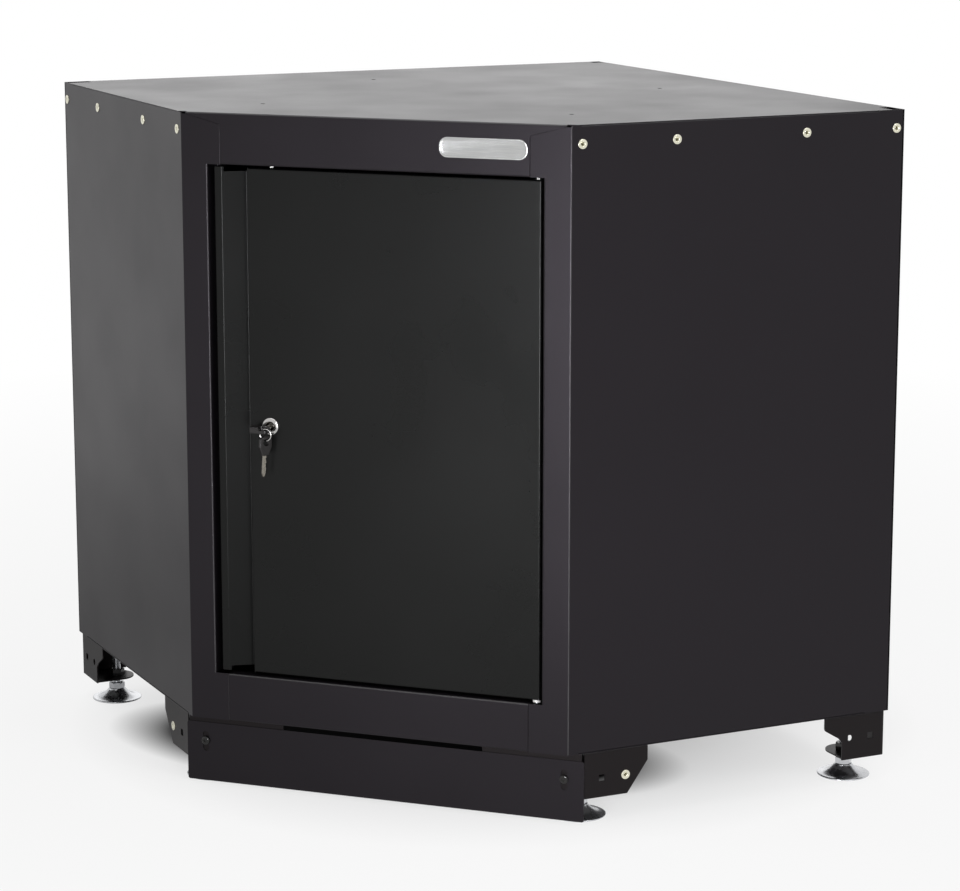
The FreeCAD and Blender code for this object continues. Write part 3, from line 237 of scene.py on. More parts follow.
class Finish:
    """One procedural finish: a shader and the patterns that shape it, read in metres on the object."""

    def __init__(self, name, metallic=0.0, specular=0.5):
        self.material = bpy.data.materials.new(name)
        self.material.use_nodes = True
        self.tree = self.material.node_tree
        self.shader = self.tree.nodes["Principled BSDF"]
        self.shader.inputs["Metallic"].default_value = metallic
        self.shader.inputs["Specular IOR Level"].default_value = specular
        self.place = self.add("ShaderNodeTexCoord").outputs["Object"]

    def add(self, kind, **settings):
        node = self.tree.nodes.new(kind)
        for key, value in settings.items():
            setattr(node, key, value)
        return node

    def join(self, source, socket):
        self.tree.links.new(source, socket)

    def stretched(self, scale):
        mapping = self.add("ShaderNodeMapping")
        mapping.inputs["Scale"].default_value = scale
        self.join(self.place, mapping.inputs["Vector"])
        return mapping.outputs["Vector"]

    def noise(self, scale, detail=2.0, stretch=None):
        """A cloudy pattern with this many patches in a metre."""
        node = self.add("ShaderNodeTexNoise")
        node.inputs["Scale"].default_value = scale
        node.inputs["Detail"].default_value = detail
        self.join(self.stretched(stretch) if stretch else self.place, node.inputs["Vector"])
        return node.outputs["Fac"]

    def span(self, source, low, high, start=0.3, stop=0.7):
        """The pattern's usual range, start to stop, as values from low to high."""
        node = self.add("ShaderNodeMapRange")
        node.inputs["From Min"].default_value = start
        node.inputs["From Max"].default_value = stop
        node.inputs["To Min"].default_value = low
        node.inputs["To Max"].default_value = high
        self.join(source, node.inputs["Value"])
        return node.outputs["Result"]

    def combined(self, operation, first, second):
        node = self.add("ShaderNodeMath", operation=operation)
        self.join(first, node.inputs[0])
        self.join(second, node.inputs[1])
        return node.outputs["Value"]

    def total(self, first, second):
        """Two patterns laid over each other."""
        return self.combined("ADD", first, second)

    def distance(self, point, stretch=(1.0, 1.0, 1.0)):
        """Metres from a point, with the axes stretched."""
        shift = self.add("ShaderNodeMapping")
        shift.inputs["Scale"].default_value = stretch
        shift.inputs["Location"].default_value = tuple(-a * b for a, b in zip(point, stretch))
        self.join(self.place, shift.inputs["Vector"])
        node = self.add("ShaderNodeVectorMath", operation="LENGTH")
        self.join(shift.outputs["Vector"], node.inputs[0])
        return node.outputs["Value"]

    def tone(self, factor, low, high):
        """A colour that runs from low to high with the factor."""
        node = self.add("ShaderNodeMix", data_type="RGBA")
        node.inputs[6].default_value = (*low, 1.0)
        node.inputs[7].default_value = (*high, 1.0)
        self.join(factor, node.inputs[0])
        return node.outputs[2]

    def blend(self, factor, source, colour):
        """The source, giving way to one colour as the factor rises."""
        node = self.add("ShaderNodeMix", data_type="RGBA")
        node.inputs[7].default_value = colour
        self.join(factor, node.inputs[0])
        self.join(source, node.inputs[6])
        return node.outputs[2]

    def within(self, source, centre, reach):
        """One where the source is this near to the centre."""
        node = self.add("ShaderNodeMath", operation="COMPARE")
        node.inputs[1].default_value = centre
        node.inputs[2].default_value = reach
        self.join(source, node.inputs[0])
        return node.outputs["Value"]

    def painted_light_mask(self):
        """One where light is painted: on faces turned to the front right, as on the bent corner between the
        front and the right side, and on faces that lean upwards.
        """
        facing = self.add("ShaderNodeTexCoord").outputs["Normal"]
        split = self.add("ShaderNodeSeparateXYZ")
        self.join(facing, split.inputs["Vector"])
        along = self.add("ShaderNodeVectorMath", operation="DOT_PRODUCT")
        along.inputs[1].default_value = PAINTED_LIGHT_FACING
        self.join(facing, along.inputs[0])
        upright = self.within(along.outputs["Value"], 1.0, PAINTED_LIGHT_REACH)
        return self.combined("MAXIMUM", upright, self.within(split.outputs["Z"], *PAINTED_LIGHT_LEAN))

    def bump(self, height, depth):
        """Relief this many metres deep."""
        node = self.add("ShaderNodeBump")
        node.inputs["Distance"].default_value = depth
        self.join(height, node.inputs["Height"])
        self.join(node.outputs["Normal"], self.shader.inputs["Normal"])

    def colour(self, source):
        self.join(source, self.shader.inputs["Base Color"])

    def roughness(self, source):
        self.join(source, self.shader.inputs["Roughness"])


def shade(colour, amount):
    return tuple(channel * amount for channel in colour)


def powder_coat(name, colour, gloss, specular, tint, painted_light_tone):
    """Baked satin powder coat: cloudy tone, fine grain, shallow dimples, and a flat tone painted on faces
    turned to the front right or leaning upwards: a painted highlight where it is paler than the coat,
    painted shade where it is darker.
    """
    finish = Finish(name, specular=specular)
    finish.shader.inputs["Specular Tint"].default_value = (*tint, 1.0)
    clouds = finish.noise(COAT_CLOUDS, detail=4.0)
    grain = finish.noise(COAT_GRAIN, detail=2.0)
    dimples = finish.noise(COAT_DIMPLES, detail=1.0)
    mixed = finish.total(finish.span(clouds, 0.0, 0.6), finish.span(grain, 0.0, 0.4))
    base = finish.tone(mixed, shade(colour, 1.0 - COAT_UNEVEN), shade(colour, 1.0 + COAT_UNEVEN))
    # Painted light: faces turned to the front right and upward-leaning faces take a flat tone, a painted
    # highlight where paler and painted shade where darker.
    finish.colour(finish.blend(finish.painted_light_mask(), base, (painted_light_tone, painted_light_tone, painted_light_tone, 1.0)))
    streaks = finish.noise(COAT_STREAKS, detail=5.0)
    finish.roughness(finish.span(streaks, gloss - COAT_GLOSSIER, gloss + COAT_DULLER))
    finish.bump(finish.total(dimples, finish.span(grain, 0.0, 0.35)), COAT_RELIEF)
    return finish.material


def plated(name, colour, gloss, cloud=22.0, patchy=0.12):
    """Bright plating: faint cloudy bloom, drawing lines and fine handling marks."""
    finish = Finish(name, metallic=1.0)
    bloom = finish.noise(cloud, detail=5.0)
    spangle = finish.noise(SPANGLE, detail=3.0)
    mixed = finish.total(finish.span(bloom, 0.0, 0.7), finish.span(spangle, 0.0, 0.3))
    finish.colour(finish.tone(mixed, shade(colour, 1.0 - patchy), colour))
    finish.roughness(finish.span(bloom, gloss * 0.75, gloss * 1.35))
    marks = finish.noise(DRAWING_LINES, detail=2.0, stretch=(1.0, 1.0, 0.12))
    finish.bump(marks, DRAWING_RELIEF)
    return finish.material


def blackened_steel(name):
    """Black oxide on steel: near black, slightly brown where it is thin, oily gloss."""
    finish = Finish(name, specular=0.38)
    patches = finish.noise(OXIDE_PATCHES, detail=4.0)
    finish.colour(finish.tone(finish.span(patches, 0.0, 1.0), OXIDE_BLACK, OXIDE_BROWN))
    finish.roughness(finish.span(patches, *OXIDE_ROUGH))
    finish.bump(finish.noise(OXIDE_PITS, detail=2.0), OXIDE_RELIEF)
    return finish.material


def grained_plastic(name, low, high, gloss, grain, depth):
    """Moulded plastic with a fine spark-eroded grain."""
    finish = Finish(name, specular=0.4)
    patches = finish.noise(MOULD_PATCHES, detail=3.0)
    pits = finish.noise(grain, detail=3.0)
    finish.colour(finish.tone(finish.span(patches, 0.0, 1.0), low, high))
    finish.roughness(finish.span(pits, gloss - MOULD_GLOSSIER, gloss + MOULD_DULLER))
    finish.bump(pits, depth)
    return finish.material


def satin_plate(name):
    """Satin aluminium, brushed along its length."""
    finish = Finish(name, metallic=1.0)
    brush = finish.noise(BRUSH_LINES, detail=3.0, stretch=(0.02, 1.0, 1.0))
    bloom = finish.noise(PLATE_BLOOM, detail=3.0)
    finish.colour(finish.tone(finish.span(brush, 0.0, 1.0), PLATE_DARK, PLATE_LIGHT))
    finish.roughness(finish.span(bloom, *PLATE_ROUGH))
    finish.bump(brush, BRUSH_RELIEF)
    return finish.material


# Each coat's last tone is painted light: a painted highlight on the bent edges of the frame and brackets,
# and painted shade on the door that darkens its pull channel.
FINISHES = {
    "frame_paint": powder_coat("charcoal_powder_coat", (0.0049, 0.0041, 0.0050), gloss=0.34, specular=0.23,
                               tint=(0.97, 0.89, 0.99), painted_light_tone=0.044),
    "door_paint": powder_coat("graphite_powder_coat", (0.0040, 0.0040, 0.0039), gloss=0.28, specular=0.155,
                              tint=(0.98, 1.0, 0.98), painted_light_tone=0.0015),
    "bracket_paint": powder_coat("black_powder_coat", (0.0044, 0.0037, 0.0040), gloss=0.36, specular=0.18,
                                 tint=(1.0, 0.90, 0.92), painted_light_tone=0.030),
    "black_steel": blackened_steel("black_oxide_steel"),
    "yellow_zinc": plated("pale_yellow_zinc", (0.74, 0.72, 0.59), gloss=0.24, cloud=240.0),
    "bright_zinc": plated("bright_zinc", (0.74, 0.75, 0.77), gloss=0.22),
    "foot_zinc": plated("satin_foot_zinc", (0.60, 0.61, 0.63), gloss=0.25, cloud=70.0, patchy=0.25),
    "chrome": plated("polished_chrome", (0.50, 0.49, 0.48), gloss=0.11, cloud=160.0, patchy=0.06),
    "lock_core": plated("dark_lock_core", (0.15, 0.145, 0.14), gloss=0.10, cloud=200.0, patchy=0.3),
    "key_steel": plated("nickel_key_steel", (0.32, 0.30, 0.26), gloss=0.27, cloud=180.0),
    "key_plastic": grained_plastic("black_key_plastic", (0.005, 0.004, 0.004), (0.009, 0.008, 0.008),
                                   gloss=0.30, grain=2600.0, depth=0.00002),
    "plate_silver": satin_plate("satin_plate_silver"),
    "pale_nylon": grained_plastic("pale_nylon", (0.72, 0.72, 0.69), (0.82, 0.82, 0.79),
                                  gloss=0.45, grain=1600.0, depth=0.00001),
    "black_rubber": grained_plastic("black_rubber", (0.010, 0.010, 0.010), (0.020, 0.019, 0.019),
                                    gloss=0.72, grain=1900.0, depth=0.00003),
}


# Making a piece

def arc(radius, height, size, start, stop, count=5):
    """Points of an arc on a turned profile, about (radius, height), from start to stop in degrees."""
    turns = [math.radians(start + (stop - start) * i / (count - 1)) for i in range(count)]
    return [(radius + size * math.cos(turn), height + size * math.sin(turn)) for turn in turns]


def lathe(profile, steps=TURN_STEPS):
    """A shape turned about Z from (radius, height) points."""
    bm = bmesh.new()
    points = [bm.verts.new((radius, 0.0, height)) for radius, height in profile]
    lines = [bm.edges.new(pair) for pair in zip(points, points[1:])]
    bmesh.ops.spin(bm, geom=points + lines, cent=(0, 0, 0), axis=(0, 0, 1), angle=math.tau,
                   steps=steps, use_merge=True)
    return bm


def thread(radius, depth, pitch, start, stop):
    """A rolled screw thread about Z: one ridge swept up its helix, closed at both ends."""
    bm = bmesh.new()
    points = [bm.verts.new((radius if crest else radius - depth, 0.0, start + share * pitch))
              for crest, share in THREAD_RIDGE]
    lines = [bm.edges.new(pair) for pair in zip(points, points[1:])]
    count = int((stop - start - pitch) / pitch * THREAD_STEPS)
    swept = bmesh.ops.spin(bm, geom=points + lines, cent=(0, 0, 0), axis=(0, 0, 1),
                           angle=math.tau * count / THREAD_STEPS, steps=count,
                           dvec=(0, 0, pitch / THREAD_STEPS))
    last = [item for item in swept["geom_last"] if isinstance(item, bmesh.types.BMVert)]
    bm.faces.new(points[1:-1])
    bm.faces.new(sorted(last, key=lambda vert: vert.co.z)[1:-1])
    return bm


def hexed(bm, ring, flat, fall=0.0):
    """Pulls the turned ring at this radius out to a hexagon, and drops its corners along a chamfer."""
    for vert in bm.verts:
        radius = vert.co.xy.length
        if abs(radius - ring) >= MERGE:
            continue
        turn = math.atan2(vert.co.y, vert.co.x)
        off = (turn + math.pi / 6) % (math.pi / 3) - math.pi / 6
        out = flat / 2 / math.cos(off)
        vert.co.x *= out / radius
        vert.co.y *= out / radius
        vert.co.z += fall * (out - flat / 2) * (-1 if vert.co.z > 0 else 1)
    return bm


def hexagon_nut(flat, height, bore):
    """A nut about its own middle, with chamfered corners and a countersunk bore."""
    half = height / 2
    corner = flat / 2 * CORNER_OUT
    face = flat / 2 * HEX_FACE
    mouth = bore + HEX_COUNTERSINK
    deep = half - HEX_COUNTERSINK
    profile = [(bore, deep), (mouth, half), (face, half), (corner, half), (corner, -half),
               (face, -half), (mouth, -half), (bore, -deep), (bore, deep)]
    return hexed(lathe(profile, HEX_STEPS), corner, flat, CORNER_FALL)


def merged(shapes):
    """Several shapes as one mesh."""
    whole = bmesh.new()
    for shape in shapes:
        mesh = bpy.data.meshes.new("shape")
        shape.to_mesh(mesh)
        shape.free()
        whole.from_mesh(mesh)
        bpy.data.meshes.remove(mesh)
    return whole


def stood(bm, place, axis=(0, 0, 1), turn=0.0):
    """A shape drawn in millimetres about Z, brought to its place in metres with Z along the axis."""
    lean = Vector((0, 0, 1)).rotation_difference(Vector(axis)).to_matrix().to_4x4()
    matrix = Matrix.Translation(place) @ lean @ Matrix.Rotation(turn, 4, "Z") @ Matrix.Scale(MM, 4)
    bmesh.ops.transform(bm, matrix=matrix, verts=bm.verts)
    return bm


def finished(name, bm, slot, body, *replaced):
    """Closes the mesh, gives it its finish and lets it ride on its body in place of the plain solids."""
    bmesh.ops.remove_doubles(bm, verts=bm.verts, dist=MERGE * MM)
    bmesh.ops.recalc_face_normals(bm, faces=bm.faces)
    mesh = bpy.data.meshes.new(name)
    bm.to_mesh(mesh)
    bm.free()
    mesh.materials.append(FINISHES[slot])
    mesh.shade_smooth()
    mesh.set_sharp_from_angle(angle=SMOOTH_ANGLE)
    piece = bpy.data.objects.new(name, mesh)
    bpy.context.scene.collection.objects.link(piece)
    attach(piece, body)
    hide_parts(*replaced)


def middle(node):
    low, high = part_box(node)
    return (low + high) / 2


# Feet

def foot_pad():
    """A pressed foot: flat rim, trumpet flare up to the neck, hollow sole."""
    reach = PAD_R - PAD_RIM - PAD_NECK_R
    flare = []
    for i in range(PAD_FLARE_POINTS):
        share = i / (PAD_FLARE_POINTS - 1)
        height = PAD_EDGE_TOP + (PAD_NECK_TOP - PAD_EDGE_TOP - PAD_NECK_ROUND) * share ** PAD_FLARE
        flare.append((PAD_NECK_R + reach * (1 - share), height))
    profile = [(0.0, PAD_HOLLOW), (PAD_HOLLOW_R, PAD_HOLLOW), (PAD_HOLLOW_R + PAD_HOLLOW_SLOPE, 0.0),
               (PAD_R - PAD_SOLE_IN, 0.0)]
    profile += arc(PAD_R - PAD_EDGE, PAD_EDGE, PAD_EDGE, -60, 70, 7)
    profile += flare
    profile += arc(PAD_NECK_R - PAD_NECK_ROUND, PAD_NECK_TOP - PAD_NECK_ROUND, PAD_NECK_ROUND, 20, 90, 4)
    profile += [(SOCKET_R, PAD_NECK_TOP), (SOCKET_R, SOCKET_FLOOR), (0.0, SOCKET_FLOOR)]
    return lathe(profile, PAD_STEPS)


def foot_stem(top):
    """The threaded stem with its hexagon collar and the plain end that sits in the pad."""
    low = PAD_NECK_TOP + COLLAR_GAP
    end = SOCKET_FLOOR + STEM_END_GAP
    corner = COLLAR_FLAT / 2 * CORNER_OUT
    face = COLLAR_FLAT / 2 * COLLAR_FACE
    core = STEM_R - THREAD_DEPTH
    profile = [(0.0, end), (STEM_R - STEM_END_CHAMFER, end), (STEM_R, SOCKET_FLOOR + STEM_END_CHAMFER),
               (STEM_R, low), (face, low), (corner, low), (corner, COLLAR_TOP), (face, COLLAR_TOP),
               (STEM_R + STEM_NECK_OUT, COLLAR_TOP), (core, COLLAR_TOP + STEM_NECK),
               (core, top - STEM_CHAMFER), (core - STEM_CHAMFER, top), (0.0, top)]
    body = lathe(profile, HEX_STEPS)
    middle_height = (low + COLLAR_TOP) / 2
    bmesh.ops.translate(body, vec=(0, 0, -middle_height), verts=body.verts)
    hexed(body, corner, COLLAR_FLAT, CORNER_FALL)
    bmesh.ops.translate(body, vec=(0, 0, middle_height), verts=body.verts)
    ridge = thread(STEM_R, THREAD_DEPTH, THREAD_PITCH, COLLAR_TOP + THREAD_START, top - THREAD_END)
    return merged([body, ridge])


def add_feet():
    """Pads, stems and nuts; the front stems end lower, behind the plinth."""
    nuts = []
    low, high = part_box("foot_nuts")
    for foot in FEET:
        centre = middle(foot + "_foot_pad")
        ground = Vector((centre.x, centre.y, 0.0))
        body = foot + "_foot"
        top = FRONT_STEM_TOP if foot.startswith("front") else STEM_TOP
        finished(foot + "_pressed_pad", stood(foot_pad(), ground), "foot_zinc", body, body + "_pad")
        finished(foot + "_threaded_stem", stood(foot_stem(top), ground), "foot_zinc", body, body + "_stem")
        nut = hexagon_nut(FOOT_NUT_FLAT, (high.z - low.z) / MM, STEM_R)
        nuts.append(stood(nut, (centre.x, centre.y, (low.z + high.z) / 2)))
    finished("chamfered_foot_nuts", merged(nuts), "black_steel", "cabinet", "foot_nuts")


# Rivet nuts

def rivet_nut():
    """A rivet nut about Z with its flange on z 0, its crimped bulge behind the sheet and its thread."""
    top = NUT_FLANGE
    bottom = top - NUT_LENGTH - NUT_FLANGE
    bore = [(NUT_BORE_R + NUT_MOUTH, top), (NUT_BORE_R, top - NUT_MOUTH)]
    depth = top - NUT_MOUTH
    while depth - NUT_PITCH > bottom + NUT_THREAD_END:
        bore += [(NUT_BORE_R + NUT_THREAD, depth - NUT_PITCH / 2), (NUT_BORE_R, depth - NUT_PITCH)]
        depth -= NUT_PITCH
    outside = [(NUT_BORE_R, bottom), (NUT_BODY_R - NUT_END_CHAMFER, bottom),
               (NUT_BODY_R, bottom + NUT_END_CHAMFER), (NUT_BODY_R, -NUT_BULGE_END)]
    bulge = NUT_BULGE_R - NUT_BODY_R + NUT_BULGE_IN
    outside += arc(NUT_BODY_R - NUT_BULGE_IN, -NUT_BULGE, bulge, -80, 80, 7)
    outside += [(NUT_BODY_R, -SHEET), (NUT_BODY_R, 0.0), (NUT_FLANGE_R, 0.0)]
    outside += arc(NUT_FLANGE_R - NUT_ROUND, top - NUT_ROUND, NUT_ROUND, 0, 90, 4)
    return lathe(bore + outside + bore[:1])


def add_rivet_nuts():
    """A rivet nut at each threaded mount, with its flange on the sheet."""
    groups = {"left_rivet_nuts": "left_side_thread", "right_rivet_nuts": "right_side_thread",
              "bracket_rivet_nuts": "bracket_thread"}
    for node, mark in groups.items():
        shapes = []
        for mount in record["mounts"]:
            if mark in mount["name"]:
                axis = Vector(mount["axis"])
                place = Vector(mount["pos_m"]) - axis * NUT_FLANGE * MM
                shapes.append(stood(rivet_nut(), place, axis))
        finished("crimped_" + node, merged(shapes), "yellow_zinc", "cabinet", node)


# Plinth screws

def button_screw():
    """A socket button screw about Z, its head's seat on z 0."""
    crown = SCREW_HEAD - SCREW_WALL
    socket = SCREW_SOCKET_FLAT / 2
    mark = socket * CORNER_OUT
    rim = mark + SCREW_MOUTH
    profile = [(0.0, SCREW_HEAD - SCREW_SOCKET - SCREW_SOCKET_CONE), (mark, SCREW_HEAD - SCREW_SOCKET),
               (mark, SCREW_HEAD - SCREW_MOUTH_DROP), (rim, SCREW_HEAD)]
    for i in range(1, SCREW_CROWN_POINTS + 1):
        turn = math.radians(90 * i / SCREW_CROWN_POINTS)
        across = rim + (SCREW_HEAD_R - rim) * math.sin(turn)
        profile.append((across, SCREW_WALL + crown * math.cos(turn)))
    profile += [(SCREW_HEAD_R, SCREW_SEAT_CHAMFER), (SCREW_HEAD_R - SCREW_SEAT_CHAMFER, 0.0),
                (SCREW_SHANK_R, 0.0), (SCREW_SHANK_R, SCREW_END_CHAMFER - SCREW_LENGTH),
                (SCREW_SHANK_R - SCREW_END_CHAMFER, -SCREW_LENGTH), (0.0, -SCREW_LENGTH)]
    return hexed(lathe(profile), mark, SCREW_SOCKET_FLAT)


def add_plinth_screws():
    """A screw at each end of the plinth, their sockets turned as they were left."""
    low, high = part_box("plinth_screws")
    seat = low.y + SCREW_HEAD * MM
    height = (low.z + high.z) / 2
    reach = high.x - SCREW_HEAD_R * MM
    shapes = [stood(button_screw(), (side * reach, seat, height), FORWARD, side * SCREW_TURN)
              for side in (-1, 1)]
    finished("button_plinth_screws", merged(shapes), "black_steel", "cabinet", "plinth_screws")


# Lock and keys

def lock_housing():
    """The lock's turned housing about Z, its face ring on z 0 with a rounded mouth and a threaded barrel."""
    profile = [(LOCK_BORE_R, LOCK_FACE - LOCK_LIP - LOCK_LIP_SLOPE), (LOCK_LIP_R, LOCK_FACE - LOCK_LIP)]
    mouth = LOCK_MOUTH_R + LOCK_MOUTH_OUT
    profile += arc(mouth, LOCK_FACE - LOCK_MOUTH_ROUND, LOCK_MOUTH_ROUND, 170, 90, 6)
    profile += arc(LOCK_FACE_R - LOCK_ROUND, LOCK_FACE - LOCK_ROUND, LOCK_ROUND, 90, 0, 7)
    profile += [(LOCK_FACE_R, 0.0), (LOCK_BARREL_R, 0.0)]
    depth = -LOCK_THREAD_START
    while depth - LOCK_PITCH > -LOCK_BARREL + LOCK_THREAD_END:
        profile += [(LOCK_BARREL_R, depth), (LOCK_BARREL_R - LOCK_THREAD, depth - LOCK_PITCH / 2)]
        depth -= LOCK_PITCH
    profile += [(LOCK_BARREL_R, -LOCK_BARREL + LOCK_END_CHAMFER),
                (LOCK_BARREL_R - LOCK_END_CHAMFER, -LOCK_BARREL), (LOCK_BORE_R, -LOCK_BARREL), profile[0]]
    return lathe(profile, LOCK_STEPS)


def lock_plug(length):
    """The turning plug about Z, its face on z 0: rounded rim, round groove, raised boss round the key."""
    profile = [(0.0, -PLUG_DISH), (PLUG_BOSS_R - PLUG_DISH_IN, -PLUG_DISH)]
    profile += arc(PLUG_BOSS_R - PLUG_BOSS_IN, -PLUG_BOSS_ROUND, PLUG_BOSS_ROUND, 90, 0, 5)
    profile += arc(PLUG_BOSS_R + PLUG_GROOVE_R, -PLUG_GROOVE, PLUG_GROOVE_R, 180, 360, 7)
    profile += arc(PLUG_R - PLUG_RIM_IN, -PLUG_RIM_DROP, PLUG_RIM_ROUND, 120, 0, 6)
    tang = PLUG_TANG - length
    profile += [(PLUG_R, -PLUG_RIM_END), (PLUG_R, tang + PLUG_END_CHAMFER),
                (PLUG_R - PLUG_END_CHAMFER, tang), (PLUG_TANG_R, tang),
                (PLUG_TANG_R, -length), (0.0, -length)]
    return lathe(profile)


def split_ring():
    """Two close coils of flattened wire about Z."""
    bm = bmesh.new()
    bmesh.ops.create_circle(bm, cap_ends=False, radius=1.0, segments=RING_WIRE_STEPS)
    bmesh.ops.scale(bm, vec=(RING_WIRE, RING_COIL / 2, 1.0), verts=bm.verts)
    bmesh.ops.rotate(bm, matrix=Matrix.Rotation(math.pi / 2, 3, "X"), verts=bm.verts)
    bmesh.ops.translate(bm, vec=(RING_COIL_R, 0.0, -RING_COIL / 2), verts=bm.verts)
    bmesh.ops.spin(bm, geom=bm.verts[:] + bm.edges[:], cent=(0, 0, 0), axis=(0, 0, 1),
                   angle=math.tau * RING_TURNS, steps=RING_STEPS,
                   dvec=(0, 0, RING_COIL / RING_STEPS * RING_RISE))
    bmesh.ops.holes_fill(bm, edges=bm.edges)
    return bm


def milled_blade(length, width, thickness):
    """A key blade along Z from its shoulder: a milled groove on each face and cuts along one edge."""
    edge = width / 2
    deep = thickness / 2
    groove = deep * BLADE_GROOVE
    near, near_floor, far_floor, far = BLADE_GROOVE_EDGES
    section = [(-edge, -deep), (-near, -deep), (-near_floor, -groove), (far_floor, -groove), (far, -deep),
               (edge, -deep), (edge, deep), (near, deep), (near_floor, groove), (-far_floor, groove),
               (-far, deep), (-edge, deep)]
    stations = [(0.0, 0.0, 1.0), (BLADE_SHOULDER, 0.0, 1.0)]
    start = BLADE_CUT_START
    for depth in BLADE_CUTS:
        floor_end = start + BLADE_CUT_FLOOR
        stations += [(start, depth, 1.0), (floor_end, depth, 1.0),
                     (floor_end + depth * BLADE_CUT_SLOPE, max(0.0, depth - BLADE_CUT_RISE), 1.0)]
        start += BLADE_CUT_STEP
    stations += [(length - short, depth, shrink) for short, depth, shrink in BLADE_TIP]
    bm = bmesh.new()
    points = [bm.verts.new((x, y, 0.0)) for x, y in section]
    face = bm.faces.new(points)
    for height, depth, shrink in stations[1:]:
        grown = bmesh.ops.extrude_face_region(bm, geom=[face])
        face = next(item for item in grown["geom"] if isinstance(item, bmesh.types.BMFace))
        for vert, (x, y) in zip(face.verts, section):
            across = x - depth if x == edge else x
            vert.co = (across * shrink, y * min(1.0, shrink + BLADE_TIP_THICK), height)
    return bm


def rounded_outline(corners, count):
    """An outline through (x, y, radius) corners, each rounded with an arc of this many points."""
    outline = []
    for i, (x, y, radius) in enumerate(corners):
        here = Vector((x, y))
        before = (Vector(corners[i - 1][:2]) - here).normalized()
        after = (Vector(corners[(i + 1) % len(corners)][:2]) - here).normalized()
        half = before.angle(after) / 2
        centre = here + (before + after).normalized() * radius / math.sin(half)
        first = here + before * radius / math.tan(half) - centre
        last = here + after * radius / math.tan(half) - centre
        sweep = first.angle_signed(last)
        for step in range(count):
            outline.append(centre + Matrix.Rotation(-sweep * step / (count - 1), 2) @ first)
    return outline


def add_lock_and_keys():
    """The lock on the door, the plug that turns in it, the split ring and the spare key's blade."""
    low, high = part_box("lock_housing")
    seat = Vector(((low.x + high.x) / 2, low.y + LOCK_FACE * MM, (low.z + high.z) / 2))
    finished("turned_lock_housing", stood(lock_housing(), seat, FORWARD), "chrome", "door", "lock_housing")
    low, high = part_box("lock_plug")
    face = Vector((seat.x, low.y, seat.z))
    plug = stood(lock_plug((high.y - low.y) / MM), face, FORWARD)
    finished("grooved_lock_plug", plug, "lock_core", "lock", "lock_plug")
    ring = stood(split_ring(), middle("key_ring"), FORWARD, RING_START)
    finished("split_key_ring", ring, "chrome", "key_ring", "key_ring")

    blade = milled_blade(SPARE_BLADE_LENGTH, SPARE_BLADE_WIDTH, SPARE_BLADE_THICKNESS)
    bmesh.ops.rotate(blade, matrix=Matrix.Rotation(math.pi, 3, "X"), verts=blade.verts)
    up = Vector((math.sin(SPARE_LEAN), 0.0, math.cos(SPARE_LEAN)))
    shoulder = middle("key_ring") - Vector((0.0, 0.0, RING_COIL_R * MM)) - up * SPARE_DROP * MM
    blade = stood(blade, shoulder, up, math.pi / 2 - SPARE_TURN)
    finished("milled_spare_blade", blade, "key_steel", "spare_key", "spare_key_blade")


# Badge plate

def add_badge_plate():
    """The bare plate: a rounded bar with a soft raised rim."""
    low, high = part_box("badge_plate")
    length = (high.x - low.x) / MM / 2
    height = (high.z - low.z) / MM / 2
    thickness = (high.y - low.y) / MM
    corners = [(length, -height, PLATE_CORNER), (length, height, PLATE_CORNER),
               (-length, height, PLATE_CORNER), (-length, -height, PLATE_CORNER)]
    bm = bmesh.new()
    rim = [bm.verts.new((point.x, point.y, 0.0)) for point in rounded_outline(corners, PLATE_ARC_POINTS)]
    face = bm.faces.new(rim)
    grown = bmesh.ops.extrude_face_region(bm, geom=[face])
    top = next(item for item in grown["geom"] if isinstance(item, bmesh.types.BMFace))
    bmesh.ops.translate(bm, vec=(0, 0, thickness), verts=top.verts)
    bmesh.ops.inset_region(bm, faces=[top], thickness=PLATE_RIM, use_even_offset=True)
    bmesh.ops.inset_region(bm, faces=[top], thickness=PLATE_RECESS, use_even_offset=True)
    bmesh.ops.translate(bm, vec=(0, 0, -PLATE_RECESS), verts=top.verts)
    bmesh.ops.recalc_face_normals(bm, faces=bm.faces)
    sharp = [edge for edge in bm.edges if edge.calc_face_angle(0.0) > PLATE_SHARP_ANGLE]
    bmesh.ops.bevel(bm, geom=sharp, offset=PLATE_ROUND, segments=PLATE_ROUND_STEPS, profile=0.5,
                    affect="EDGES", material=-1)
    place = Vector(((low.x + high.x) / 2, high.y, (low.z + high.z) / 2))
    finished("rimmed_badge_plate", stood(bm, place, FORWARD), "plate_silver", "cabinet", "badge_plate")


# Studio

CAMERA_PLACE = Vector((1.4456, -4.1099, 1.2957))
CAMERA_YAW = 0.343
CAMERA_PITCH = 0.2035
CAMERA_LENS = 115.6
SENSOR = 36.0
FLOOR_HALF = 30.0
FLOOR_CLOUDS = 0.7
FLOOR_DARK = (0.84, 0.84, 0.84)
FLOOR_LIGHT = (0.86, 0.86, 0.86)
FLOOR_WHITE = 0.85
FLOOR_WHITE_RUN = (1.0, 3.0)
UNDER_WHITE = 0.45
UNDER_RUN = (0.2, 0.62)
SHADE_MIDDLE = (-0.078, -0.212, 0.0)
SHADE_STRETCH = (2.82, 5.56, 1.0)
SHADE_EDGE = (0.93, 1.22)
SHADE_COLOUR = (0.10, 0.10, 0.10, 1.0)
MIRRORED_PAINTED_SHADE_SIDE = (-1.15, 0.0, 0.0)
MIRRORED_WHITE = (0.1, 0.96)
MIRRORED_RUN = (0.25, 1.6)
ROOM_LIGHT = 0.3
FRONT_AIM = (0.25, -0.47, 0.6)
COOL_WHITE = (0.98, 0.98, 1.04)
WHITE = (1.0, 1.0, 1.0)
WIDE = 180.0


